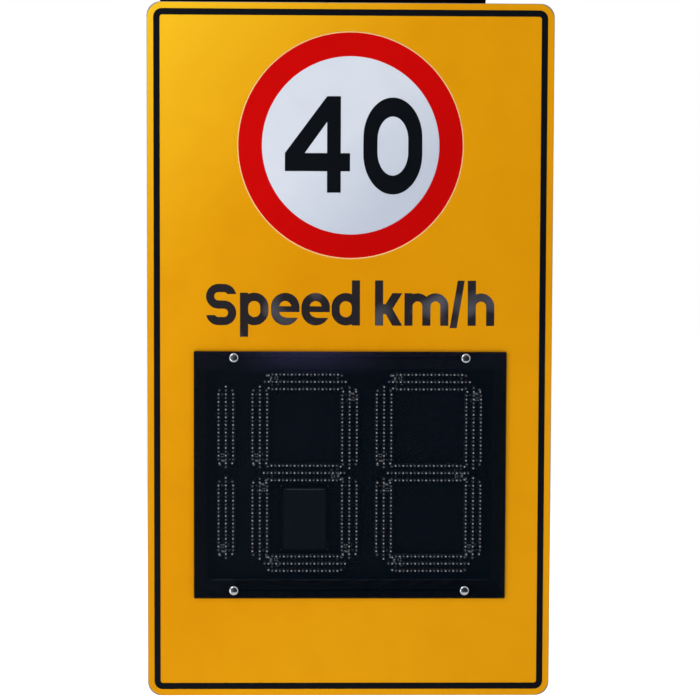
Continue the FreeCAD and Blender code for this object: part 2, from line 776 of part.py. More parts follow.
def make_segment_boards():
    """The long narrow circuit boards of the digits, one for each segment, and the screws that hold them."""
    half, tip, side = d.segment_length / 2, d.segment_end / 2, d.segment_width / 2
    shoulder = half - d.segment_taper
    outline = polygon([
        (-half, -tip), (-shoulder, -side), (shoulder, -side), (half, -tip),
        (half, tip), (shoulder, side), (-shoulder, side), (-half, tip)])
    holes = [circle((as_size(screw_step * sign), as_size(screw_side * sign)), 1.45) for sign in (-1, 1)]
    blank = plate([outline] + holes, board_front, d.board_thick)
    for name, places in digits.items():
        node(f"{name}_boards", copies(blank, [segment_place(place) for place in places]))

    head = rod("y", (0, 0), (board_front - 1.5, board_front), 2.3)
    shank = rod("y", (0, 0), (board_front - 0.5, board_front + 7), 1.25)
    screw = fuse(head, shank)
    places = []
    for segment in segments:
        for sign in (-1, 1):
            places.append(segment_place(segment) * moved(screw_step * sign, 0, screw_side * sign))
    return copies(screw, places)


def led_places():
    """LED centres on one level segment: a full middle row and two shorter outer rows."""
    count = 22
    for place in range(count):
        along_row = (place - (count - 1) / 2) * float(d.led_pitch) + float(d.led_shift)
        yield place, along_row, 0
        if 0 < place < count - 1:
            tuck = float(d.led_tuck) if place in (1, count - 2) else 0
            side = float(d.led_rows) - tuck
            yield place, along_row, side
            yield place, along_row, -side


def make_leds():
    """Round LEDs of two colours in turn along every segment."""
    front = board_front - d.led_length
    dome = front + d.led_radius
    led = fuse(ball(0, dome, 0, d.led_radius), rod("y", (0, 0), (dome, board_front), d.led_radius))
    for name, remainder in (("white_leds", 1), ("red_leds", 0)):
        places = []
        for segment in segments:
            turned = segment_place(segment)
            places += [turned * moved(x, 0, z) for place, x, z in led_places() if place % 2 == remainder]
        node(name, copies(led, places))


def make_display_plate(board_screws):
    """The steel plate that carries the segment boards in front and the electronics behind."""
    outline = rounded(display, d.display_width, d.display_tall, 6)
    radar_hole = rounded(radar, d.radome_width - 2, d.radome_tall - 2, 6)
    flange_holes = [(radar[0] + x, radar[1] + z) for x, z in four_corners(41, 56)]
    holes = screw_holes(pillars, d.stud_radius + d.screw_gap) + screw_holes(flange_holes, 1.7)
    body = plate([outline, radar_hole] + holes, d.plate_front, d.panel_sheet)
    post = cut(rod("y", (0, 0), (board_back, d.plate_front + 0.5), 2.75),
               rod("y", (0, 0), (board_back - 1, d.plate_front + 1), STANDOFF_HOLE))
    places = []
    for segment in segments:
        for sign in (-1, 1):
            places.append(segment_place(segment) * moved(screw_step * sign, 0, screw_side * sign))
    front_posts = copies(post, places)
    node("display_plate", fuse(body, front_posts))

    pillar = fuse(hexagon("y", (0, 0), (d.plate_thick, d.plate_front), d.pillar_radius),
                  rod("y", (0, 0), (d.plate_front - 1, plate_back + 7), d.stud_radius))
    nut = cut(hexagon("y", (0, 0), (plate_back, plate_back + 4), 4.6),
              rod("y", (0, 0), (plate_back - 1, plate_back + 5), d.stud_radius))
    supports = copies(group(pillar, nut), [moved(x, 0, z) for x, z in pillars])
    spacers = [rod("y", (control[0] + x, control[1] + z), (plate_back, plate_back + 8), 3)
               for x, z in four_corners(70, 50)]
    node("display_fasteners", group(board_screws, supports, *spacers))


def make_radar():
    """The radar head: a moulded radome in the display, its antenna board and the tray behind the plate."""
    skirt = 2
    flange_front_face = d.plate_front - skirt
    corners = [(radar[0] + x, radar[1] + z) for x, z in four_corners(41, 56)]
    dome_outer = rounded(radar, d.radome_width, d.radome_tall, d.radome_radius)
    dome_inner = rounded(radar, d.radome_width - d.radome_wall * 2, d.radome_tall - d.radome_wall * 2,
                         d.radome_radius - d.radome_wall)
    cap = plate([dome_outer], d.radome_front, d.radome_wall)
    wall_start = d.radome_front + d.radome_wall
    pad(cap, "XZ", [dome_outer, dome_inner], wall_start, flange_front_face - wall_start)
    flange = rounded(radar, 94, 124, 8)
    pad(cap, "XZ", [flange, dome_inner] + screw_holes(corners, 1.7), flange_front_face, skirt)
    node("radar_radome", cap)

    antenna = plate([rounded(radar, 66, 97, 3)], 15, d.board_thick)
    node("radar_antenna", fuse(antenna, *[
        box((radar[0] + x - 7, radar[0] + x + 7), (14.6, 15.5), (radar[1] + z - 7, radar[1] + z + 7))
        for x in (-20, 0, 20) for z in (-34, -11.5, 11.5, 34)], *[
        rod("y", (radar[0] + x, radar[1] + z), (16, plate_back + 1.9), 2.2)
        for x, z in four_corners(28, 44)]))

    tray_depth = 18
    tray_outer = rounded(radar, 96, 126, 6)
    tray_inner = rounded(radar, 92, 122, 4)
    tray = plate([tray_outer, tray_inner], plate_back, tray_depth)
    pad(tray, "XZ", [tray_outer], plate_back + tray_depth, 2)
    plug = box(about(radar[0], 12), about(plate_back + 22.5, 3.5), about(radar[1] - 54, 6))
    node("radar_housing", fuse(tray, plug))


def make_power():
    """The battery with its strap, the charge controller and the control board with its components."""
    x = (d.battery_line - d.battery_width / 2, d.battery_line + d.battery_width / 2)
    z = (d.battery_height - d.battery_tall / 2, d.battery_height + d.battery_tall / 2)
    rear = plate_back + d.battery_deep
    case = plate([rounded((d.battery_line, d.battery_height), d.battery_width, d.battery_tall, 7)],
                 plate_back, d.battery_deep)
    terminals = [rod("z", (x[1] - inset, plate_back + 17), (z[0] - 7, z[0] + 1), 3.5) for inset in (22, 46)]
    node("battery_pack", fuse(case, *terminals))

    half, thick, foot = 12.5, 1.6, 16
    across = (d.battery_line - half, d.battery_line + half)
    strap = [box(across, (rear, rear + thick), (z[0] - thick, z[1] + thick))]
    for inner, outer, toe in ((z[1], z[1] + thick, z[1] + foot), (z[0], z[0] - thick, z[0] - foot)):
        low, high = (inner, outer) if inner.value < outer.value else (outer, inner)
        strap.append(box(across, (plate_back, rear + 0.5), (low, high)))
        low, high = (outer, toe) if outer.value < toe.value else (toe, outer)
        strap.append(box(across, (plate_back, plate_back + thick), (low, high)))
        strap.append(hexagon("y", (d.battery_line, (outer + toe) / 2),
                             (plate_back + thick - 0.5, plate_back + thick + 4), 4.6))
    node("battery_strap", fuse(*strap))

    width, tall, deep = 118, 78, 24
    case = plate([rounded(charger, width, tall, 5)], plate_back, deep)
    fins = [box(about(charger[0] + step, 1.2), (plate_back + deep - 0.5, plate_back + deep + 6),
                about(charger[1] + 6, 30)) for step in range(-50, 51, 10)]
    strip = box(about(charger[0], 50), about(plate_back + 10, 7),
                (charger[1] - tall / 2 - 9, charger[1] - tall / 2 + 1))
    node("charge_controller", fuse(case, strip, *fins))

    circuit_front = plate_back + 8
    circuit_back = circuit_front + d.board_thick
    node("control_board", plate([rounded(control, 152, 112, 4)], circuit_front, d.board_thick))
    parts = [(-44, 22, 26, 26, 3.2), (4, 24, 18, 14, 2.5), (44, 30, 34, 10, 9), (-48, -42, 44, 12, 11),
             (8, -42, 30, 12, 11), (52, -42, 30, 12, 11), (40, -4, 24, 20, 7)]
    blocks = [box(about(control[0] + x, w / 2), (circuit_back, circuit_back + h),
                  about(control[1] + z, t / 2)) for x, z, w, t, h in parts]
    cans = [rod("y", (control[0] + x, control[1] - 12), (circuit_back, circuit_back + 13), 6)
            for x in (-40, -24, -8)]
    node("control_components", group(*blocks, *cans))


def make_services():
    """Glands, breather and the power switch in the housing's floor."""
    outside, inside = box_floor, box_floor + d.box_wall

    def gland(x):
        here = (x, service_depth)
        thread = rod("z", here, (outside - 1, inside + 8), 8)
        collar = hexagon("z", here, (outside - 6, outside), 11.5)
        dome = cone("z", here, (outside - 20, outside - 5), 7.5, 10.5)
        nut = hexagon("z", here, (inside, inside + 5), 11.5)
        bore = rod("z", here, (outside - 30, inside + 20), 4)
        return cut(fuse(thread, collar, dome, nut), bore)

    node("cable_glands", group(*[gland(x) for x in glands]))
    here = (vent_line, service_depth)
    thread = rod("z", here, (outside - 1, inside + 6), 6)
    cap = rod("z", here, (outside - 4, outside), 9)
    node("vent_plug", fuse(thread, cap, hexagon("z", here, (inside, inside + 3.5), 9)))

    bezel = box(about(switch_line, 13), about(service_depth, 9), (outside - 2, outside))
    case = box(about(switch_line, 11), about(service_depth, 7), (outside - 1, inside + 17))
    well = box(about(switch_line, 10.4), about(service_depth, 5.8), (outside - 5, outside + 8))
    axle_hole = rod("y", (switch_line, outside + 2), about(service_depth, 6.6), 1.2 + d.running_gap)
    node("switch_body", cut(fuse(bezel, case), well, axle_hole))


ROCKER_REST = 10
rocker = Frame(switch_line, service_depth - d.pole_reach, box_floor + 2 - d.low_rail, V(0, 1, 0), ROCKER_REST)


def make_rocker():
    """The switch's rocker, shallow-V faced, on its cross axle."""
    outline = polygon([(-9.2, -5.6), (0, -3.6), (9.2, -5.6), (8, 2.4), (-8, 2.4)])
    face = plate([outline], -5.5, 11)
    swept = rod("y", (0, 0), (-6, 6), 10)
    axle = rod("y", (0, 0), (-6.4, 6.4), 1.2)
    node("switch_rocker", fuse(common(face, swept), axle), rocker)


# ---------------------------------------------------------------- rails and pole clamps

rail_back = d.plate_thick + d.rail_size
rail_heights = (("top_rail", d.top_rail), ("mid_rail", d.mid_rail), ("lower_rail", d.low_rail))


def rail_section(height):
    """A slotted C channel, its slot and returned lips to the rear."""
    front, wall, half, slot = d.plate_thick, d.rail_wall, d.rail_size / 2, d.rail_slot / 2
    back = rail_back
    upper = [(front, half), (back, half), (back, slot), (back - d.rail_lip, slot),
             (back - d.rail_lip, slot + wall), (back - wall, slot + wall), (back - wall, half - wall),
             (front + wall, half - wall)]
    lower = [(depth, -rise) for depth, rise in reversed(upper)]
    return polygon([(depth, height + rise) for depth, rise in upper + lower])


def make_rails():
    half = d.rail_length / 2
    for name, height in rail_heights:
        node(name, plate([rail_section(height)], -half, d.rail_length, "YZ"))
    inner = d.plate_thick + d.rail_wall
    stud = rod("y", (0, 0), (inner, inner + 10), 4)
    nut = cut(hexagon("y", (0, 0), (inner, inner + 6.5), 7.5), rod("y", (0, 0), (0, 30), 4))
    places = [moved(x, 0, height) for name, height in rail_heights for x in (-230, -70, 70, 230)]
    node("rail_bolts", copies(group(stud, nut), places))


clamp_heights = (d.low_rail, d.mid_rail)
clamp_base = rail_back + 5
base_bolt = 36


def clamp_half(span, ear):
    """Half of a clamp's ring with its two ears, on the side of the pole given by the depth span."""
    outer = d.pole_radius + d.clamp_wall
    half_tall = d.clamp_tall / 2
    tall = (-half_tall, half_tall)
    here = (as_size(0), d.pole_reach)
    ring = common(rod("z", here, tall, outer), box((-outer, outer), span, tall))
    ears = [box(across, ear, tall) for across in ((d.pole_radius + 3, d.clamp_ear),
                                                  (-d.clamp_ear, -d.pole_radius - 3))]
    return ring, ears


def make_clamps():
    """Two clamps of a saddle on the rail and a band behind the pole, each pair drawn up by two bolts."""
    half_tall = d.clamp_tall / 2
    tall = (-half_tall, half_tall)
    here = (as_size(0), d.pole_reach)
    outer = d.pole_radius + d.clamp_wall
    bore = rod("z", here, (-half_tall - 1, half_tall + 1), d.pole_radius)
    drills = [rod("y", (d.clamp_bolt * sign, 0), (100, 150), 5.3) for sign in (-1, 1)]
    drills += [rod("y", (as_size(base_bolt * sign), 0), (40, 60), 5.3) for sign in (-1, 1)]

    front = d.pole_reach - d.clamp_gap
    ring, ears = clamp_half((d.pole_reach - outer, front), (front - 5, front))
    base = box((-50, 50), (rail_back, clamp_base), tall)
    webs = [box(span, (clamp_base - 1, d.pole_reach - 34), tall) for span in ((-24, -17), (17, 24))]
    saddle = cut(fuse(ring, base, *ears, *webs), bore, *drills)
    heights = [moved(0, 0, height) for height in clamp_heights]
    node("clamp_saddles", copies(saddle, heights))

    rear = d.pole_reach + d.clamp_gap
    ring, ears = clamp_half((rear, d.pole_reach + outer), (rear, rear + 5))
    node("clamp_bands", copies(cut(fuse(ring, *ears), bore, *drills), heights))

    bolts = []
    for sign in (-1, 1):
        line = (d.clamp_bolt * sign, as_size(0))
        bolts.append(fuse(rod("y", line, (front - 14, rear + 5.5), 5),
                          hexagon("y", line, (rear + 5, rear + 11.4), 9.2)))
        nut = hexagon("y", line, (front - 13, front - 5), 9.2)
        bolts.append(cut(nut, rod("y", line, (90, 150), 5)))
        line = (as_size(base_bolt * sign), as_size(0))
        bolts.append(fuse(rod("y", line, (rail_back - 14, clamp_base + 1), 5),
                          hexagon("y", line, (clamp_base, clamp_base + 6.4), 9.2)))
        bolts.append(channel_nut(line[0], 0, 5))
    node("clamp_bolts", copies(group(*bolts), heights))


def channel_nut(x, z, bolt_radius):
    """The rectangular nut that bears on the inside of a rail's lips."""
    lip_front = rail_back - d.rail_lip
    block = box((x - 10, x + 10), (lip_front - 8, lip_front), (z - 16, as_size(z) + 16))
    return cut(block, rod("y", (x, z), (lip_front - 9, lip_front + 1), bolt_radius))


# ---------------------------------------------------------------- uprights, panel and struts

post_back = rail_back + d.post_size


def make_uprights():
    """Two square tubes on the rails, which carry the panel's hinge and the struts' lower pivots."""
    half = d.post_size / 2
    outer = rectangle((d.post_line - half, d.post_line + half), (rail_back, post_back))
    hollow = d.post_wall
    inner = rectangle((d.post_line - half + hollow, d.post_line + half - hollow),
                      (rail_back + hollow, post_back - hollow))
    tube = plate([outer, inner], d.post_foot, d.post_top - d.post_foot, "XY")
    across = (d.post_line - half - 1, d.post_line + half + 1)
    drills = [rod("x", (post_centre, d.tilt_height), across, d.tilt_bolt),
              rod("x", (post_centre, d.tilt_height - d.brace_reach), across, d.strut_bolt)]
    drills += [rod("y", (d.post_line, height), (rail_back - 1, post_back + 1), d.strut_bolt)
               for height in (d.mid_rail, d.top_rail)]
    node("uprights", both_sides(cut(tube, *drills)))

    bolts = []
    for height in (d.mid_rail, d.top_rail):
        line = (d.post_line, height)
        bolts.append(fuse(rod("y", line, (rail_back - 14, post_back + 1), d.strut_bolt),
                          hexagon("y", line, (post_back, post_back + 5.3), 7.5)))
        bolts.append(channel_nut(d.post_line, height, d.strut_bolt))
    node("upright_bolts", both_sides(group(*bolts)))

    inner_side, outer_side = d.post_line - half, d.post_line + half
    hinge = (post_centre, d.tilt_height)
    web_back = d.web_line + d.web_thick
    pivots = [
        fuse(rod("x", hinge, (inner_side - 10, web_back + 1), d.tilt_bolt),
             rod("x", hinge, (web_back + 0.3, web_back + 7), 9)),
        cut(hexagon("x", hinge, (inner_side - 8, inner_side), 9.2),
            rod("x", hinge, (inner_side - 9, inner_side + 1), d.tilt_bolt))]
    foot = (post_centre, d.tilt_height - d.brace_reach)
    arm_back = d.web_line + d.strut_thick
    pivots += [
        fuse(rod("x", foot, (inner_side - 8, arm_back + 1), d.strut_bolt),
             rod("x", foot, (arm_back + 0.3, arm_back + 5), 7.5)),
        cut(hexagon("x", foot, (inner_side - 6.5, inner_side), 7.5),
            rod("x", foot, (inner_side - 9, inner_side + 1), d.strut_bolt))]
    node("pivot_bolts", both_sides(group(*pivots)))


panel_x = (d.panel_offset - d.panel_width / 2, d.panel_offset + d.panel_width / 2)
panel_y = (d.panel_start, d.panel_start + d.panel_length)
panel_top = d.panel_under + d.panel_deep
laminate_under = panel_top - 1.5 - d.laminate
panel_screw_line = d.web_line + 16
panel_screw_rows = (as_size(10), as_size(648))


def frame_section(edge, inward):
    """The frame's section: outer wall, bottom flange, shelf and lip, drawn inward from an outer edge."""
    wall, base = d.frame_wall, d.panel_under
    shelf, lip = laminate_under - 1.5, laminate_under + d.laminate
    steps = [(0, base), (d.frame_flange, base), (d.frame_flange, base + wall), (wall, base + wall),
             (wall, shelf), (d.frame_shelf, shelf), (d.frame_shelf, laminate_under), (wall, laminate_under),
             (wall, lip), (d.frame_lip, lip), (d.frame_lip, panel_top), (0, panel_top)]
    return polygon([(edge + as_size(across) * inward, rise) for across, rise in steps])


def panel_screw_holes():
    """The holes for the four screws that hold the panel's frame on its rails."""
    span = (d.panel_under - d.web_thick - 1, d.panel_under + d.frame_wall + 1)
    return [rod("z", (panel_screw_line * side, row), span, 3 + d.screw_gap)
            for side in (-1, 1) for row in panel_screw_rows]


def make_panel():
    """The solar panel: a mitred aluminium frame, glass, cells, backsheet and junction box."""
    bars = []
    reach = d.frame_flange
    for edge, inward in ((panel_y[0], 1), (panel_y[1], -1)):
        bar_body = plate([frame_section(edge, inward)], panel_x[0], d.panel_width, "YZ")
        mitre = polygon([(panel_x[0], edge), (panel_x[1], edge), (panel_x[1] - reach, edge + reach * inward),
                         (panel_x[0] + reach, edge + reach * inward)])
        bars.append(common(bar_body, plate([mitre], d.panel_under, d.panel_deep, "XY")))
    for edge, inward in ((panel_x[0], 1), (panel_x[1], -1)):
        bar_body = plate([frame_section(edge, inward)], panel_y[0], d.panel_length, "XZ")
        mitre = polygon([(edge, panel_y[0]), (edge, panel_y[1]), (edge + reach * inward, panel_y[1] - reach),
                         (edge + reach * inward, panel_y[0] + reach)])
        bars.append(common(bar_body, plate([mitre], d.panel_under, d.panel_deep, "XY")))
    ends, sides = bars[:2], bars[2:]
    node("panel_frame", group(*[cut(bar, *panel_screw_holes()) for bar in ends], *sides), panel)

    gap = d.frame_wall + 0.5
    x = (panel_x[0] + gap, panel_x[1] - gap)
    y = (panel_y[0] + gap, panel_y[1] - gap)
    backsheet = d.laminate - d.glass_thick - d.cell_thick
    cell_base = laminate_under + backsheet
    node("panel_backsheet", group(box(x, y, (laminate_under, cell_base))), panel)
    glass = (cell_base + d.cell_thick, cell_base + d.cell_thick + d.glass_thick)
    node("panel_glass", group(box(x, y, glass)), panel)

    across, up, cell_width, cell_tall, corner = 4, 9, 129, 69, 6
    cell = polygon([
        (-cell_width / 2 + corner, -cell_tall / 2), (cell_width / 2 - corner, -cell_tall / 2),
        (cell_width / 2, -cell_tall / 2 + corner), (cell_width / 2, cell_tall / 2 - corner),
        (cell_width / 2 - corner, cell_tall / 2), (-cell_width / 2 + corner, cell_tall / 2),
        (-cell_width / 2, cell_tall / 2 - corner), (-cell_width / 2, -cell_tall / 2 + corner)])
    cell_solid = plate([cell], cell_base, d.cell_thick, "XY")
    middle = (panel_y[0] + panel_y[1]) / 2
    places = [moved(d.panel_offset + (column - (across - 1) / 2) * (cell_width + 3),
                    middle + (row - (up - 1) / 2) * (cell_tall + 3), 0)
              for column in range(across) for row in range(up)]
    node("solar_cells", copies(cell_solid, places), panel)

    box_line = d.panel_offset
    case = box((box_line - 50, box_line + 50), (560, 625), (laminate_under - 15, laminate_under))
    lid = box((box_line - 53, box_line + 53), (557, 628), (laminate_under - 17, laminate_under - 12))
    node("junction_box", fuse(case, lid), panel)


def make_panel_rails():
    """Two angle rails under the panel: upright webs on the pivots, flanges bolted to the panel's frame."""
    web = (d.web_line, d.web_line + d.web_thick)
    under = d.panel_under
    section = polygon([(web[0], -d.web_drop), (web[1], -d.web_drop), (web[1], under - d.web_thick),
                       (web[0] + d.web_flange, under - d.web_thick), (web[0] + d.web_flange, under),
                       (web[0], under)])
    angle = plate([section], -14, 670, "XZ")
    across = (web[0] - 1, web[1] + 1)
    drills = [rod("x", (0, 0), across, d.tilt_bolt + d.running_gap),
              rod("x", (d.brace_reach, 0), across, d.strut_bolt)]
    node("panel_rails", cut(both_sides(cut(angle, *drills)), *panel_screw_holes()), panel)

    arm = (d.web_line + d.strut_thick + d.strut_play, d.web_line + d.strut_thick * 2 + d.strut_play)
    line = (d.brace_reach, as_size(0))
    pivot = fuse(rod("x", line, (web[0] - 8, arm[1] + 1), d.strut_bolt),
                 rod("x", line, (web[1], arm[0] - 0.3), 7),
                 rod("x", line, (arm[1] + 0.3, arm[1] + 5), 7.5))
    nut = cut(hexagon("x", line, (web[0] - 6.5, web[0]), 7.5),
              rod("x", line, (web[0] - 9, web[0] + 1), d.strut_bolt))
    screws = []
    for row in panel_screw_rows:
        here = (panel_screw_line, row)
        screws.append(fuse(rod("z", here, (under - d.web_thick - 6, under + 7), 3),
                           hexagon("z", here, (under - d.web_thick - 4, under - d.web_thick), 5.8),
                           hexagon("z", here, (under + d.frame_wall, under + d.frame_wall + 4), 5.8)))
    node("panel_bolts", both_sides(group(pivot, nut, *screws)), panel)


def make_struts():
    """The telescoping braces: plain lower arms and slotted upper arms, held by a clamp bolt in the slot."""
    width = d.strut_width / 2
    low_x = (d.web_line, d.web_line + d.strut_thick)
    high_x = (low_x[1] + d.strut_play, low_x[1] + d.strut_play + d.strut_thick)
    end = d.strut_length - width

    def arm(x, *holes):
        blank = plate([stadium(as_size(0), end, width), *holes], 0, d.strut_thick, "XY")
        blank.Placement = FreeCAD.Placement(V(float(x[0]), 0, 0), FreeCAD.Rotation(V(1, 1, 1), 120))
        return blank

    pivot_hole = circle((as_size(0), as_size(0)), d.strut_bolt + d.running_gap)
    clamp_hole = circle((d.clamp_reach, as_size(0)), d.strut_bolt)
    slot = stadium(d.slot_start, d.slot_end, d.slot_half)
    node("lower_struts", both_sides(arm(low_x, pivot_hole, clamp_hole)), low_strut)
    node("upper_struts", both_sides(arm(high_x, pivot_hole, slot)), high_strut)

    line = (d.clamp_reach, as_size(0))
    bolt = fuse(rod("x", line, (low_x[0] - 1, high_x[1] + 11), d.strut_bolt),
                hexagon("x", line, (low_x[0] - 5.3, low_x[0]), 7.5))
    washer = rod("x", line, (high_x[1] + 0.3, high_x[1] + 2), 9)
    knob = fuse(washer, hexagon("x", line, (high_x[1] + 1.5, high_x[1] + 8.5), 7.5))
    knob = cut(knob, rod("x", line, (low_x[0], high_x[1] + 20), d.strut_bolt))
    node("strut_clamp_bolts", both_sides(group(bolt, knob)), low_strut)


# ---------------------------------------------------------------- build, check and export

def build():
    make_display_plate(make_segment_boards())
    for make in (make_face_plate, make_films, make_numerals, make_legend, make_window, make_housing,
                 make_door_seals, make_doors, make_locks, make_leds, make_radar, make_power, make_services,
                 make_rocker, make_rails, make_clamps, make_uprights, make_panel, make_panel_rails,
                 make_struts):
        make()
    doc.recompute()


def check():
    """Stops before anything is written if an object failed or a piece has no valid solid."""
    for thing in doc.Objects:
        if "Invalid" in thing.State or "Error" in thing.State:
            raise RuntimeError(f"{thing.Name} ({thing.Label}) failed: {thing.State}")
    for name, thing in nodes.items():
        shape = thing.Shape
        if shape.isNull() or not shape.isValid() or not shape.Solids:
            raise RuntimeError(f"{name} has no valid solid")


def export():
    os.makedirs("parts", exist_ok=True)
    for name, thing in nodes.items():
        thing.Shape.exportStep(f"parts/{name}.step")
        box_size = thing.Shape.BoundBox
        print(f"{name:20s} solids {len(thing.Shape.Solids):4d}  volume {thing.Shape.Volume:12.1f}  "
              f"x {box_size.XMin:8.2f} {box_size.XMax:8.2f}  y {box_size.YMin:8.2f} {box_size.YMax:8.2f}  "
              f"z {box_size.ZMin:8.2f} {box_size.ZMax:8.2f}")
    print(len(nodes), "pieces")


build()
check()
export()
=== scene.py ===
"""Looks of the solar speed sign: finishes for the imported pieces, added detail, camera and studio.

Everything is in the model frame, in metres. Sizes are in millimetres where a name or comment says so.
"""
import math

import bmesh
import bpy
from mathutils import Matrix, Vector


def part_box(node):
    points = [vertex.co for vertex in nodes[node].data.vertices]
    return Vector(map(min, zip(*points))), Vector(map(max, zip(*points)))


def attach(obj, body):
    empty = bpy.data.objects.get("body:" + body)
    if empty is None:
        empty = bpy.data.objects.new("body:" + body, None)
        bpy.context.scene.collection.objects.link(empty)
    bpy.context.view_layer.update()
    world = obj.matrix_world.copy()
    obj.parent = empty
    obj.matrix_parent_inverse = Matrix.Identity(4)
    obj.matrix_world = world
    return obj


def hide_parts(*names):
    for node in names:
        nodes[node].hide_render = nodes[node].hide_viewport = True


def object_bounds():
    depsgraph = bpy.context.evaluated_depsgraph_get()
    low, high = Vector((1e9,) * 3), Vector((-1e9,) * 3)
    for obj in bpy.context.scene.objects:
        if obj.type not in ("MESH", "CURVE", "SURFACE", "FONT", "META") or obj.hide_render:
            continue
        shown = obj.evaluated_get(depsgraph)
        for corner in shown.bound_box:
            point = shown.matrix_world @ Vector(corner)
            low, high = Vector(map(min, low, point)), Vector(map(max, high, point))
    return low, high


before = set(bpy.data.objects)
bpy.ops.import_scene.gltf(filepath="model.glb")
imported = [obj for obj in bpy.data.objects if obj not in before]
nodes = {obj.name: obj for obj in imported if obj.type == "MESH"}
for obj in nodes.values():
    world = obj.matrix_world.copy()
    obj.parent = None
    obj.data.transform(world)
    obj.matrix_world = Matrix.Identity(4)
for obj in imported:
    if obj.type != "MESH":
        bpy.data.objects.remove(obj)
cad_low, cad_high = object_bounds()
MM = 0.001

plate_low, plate_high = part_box("face_plate")
BOARD = Vector(((plate_low.x + plate_high.x) / 2, plate_low.y, (plate_low.z + plate_high.z) / 2))


def at(across, depth, height):
    """A point given in millimetres from the middle of the board's front, depth running back."""
    return BOARD + Vector((across, depth, height)) * MM


# ---------------------------------------------------------------- finishes

PANEL_TILT, STRUT_TILT = math.radians(45), math.radians(67.5)
MIX_FACTOR, MIX_A, MIX_B, MIX_RESULT = 0, 6, 7, 2
ACROSS, DEPTH, HEIGHT = range(3)

# places on the board, in millimetres from the middle of its front
ROUNDEL_HEIGHT, KEYLINE_INNER, KEYLINE_OUTER = 356, 192.2, 193.2
LEGEND_HEIGHT, LEGEND_RISE, LEGEND_REACH = 100, 115, 280
LIP_UNDER, LIP_OVER, LIP_END, LIP_REACH = -397.6, -396.8, -300, 237
RADOME_ACROSS, RADOME_TOP, RADOME_REACH = -78, -239.4, 29
LED_TIP = 8.15


def linear(color):
    """The linear values of a colour given as 0 to 255 display values."""
    shares = [value / 255 for value in color]
    return [s / 12.92 if s <= 0.04045 else ((s + 0.055) / 1.055) ** 2.4 for s in shares]


class Tree:
    """A node tree, with short ways to add nodes to it."""

    def __init__(self, tree):
        self.tree = tree

    def add(self, kind, inputs=None, **settings):
        made = self.tree.nodes.new(kind)
        for key, value in settings.items():
            setattr(made, key, value)
        for socket, value in (inputs or {}).items():
            if isinstance(value, bpy.types.NodeSocket):
                self.tree.links.new(value, made.inputs[socket])
            else:
                made.inputs[socket].default_value = value
        return made

    def math(self, operation, *values):
        return self.add("ShaderNodeMath", dict(enumerate(values)), operation=operation).outputs[0]

    def product(self, first, *others):
        for other in others:
            first = self.math("MULTIPLY", first, other)
        return first

    def dot(self, first, second):
        return self.add("ShaderNodeVectorMath", {0: first, 1: second},
                        operation="DOT_PRODUCT").outputs["Value"]

    def between(self, value, low, high, start=0.0, end=1.0):
        """The value, read from low to high, as a number from start to end."""
        return self.add("ShaderNodeMapRange", {
            "Value": value, "From Min": low, "From Max": high, "To Min": start, "To Max": end}).outputs[0]


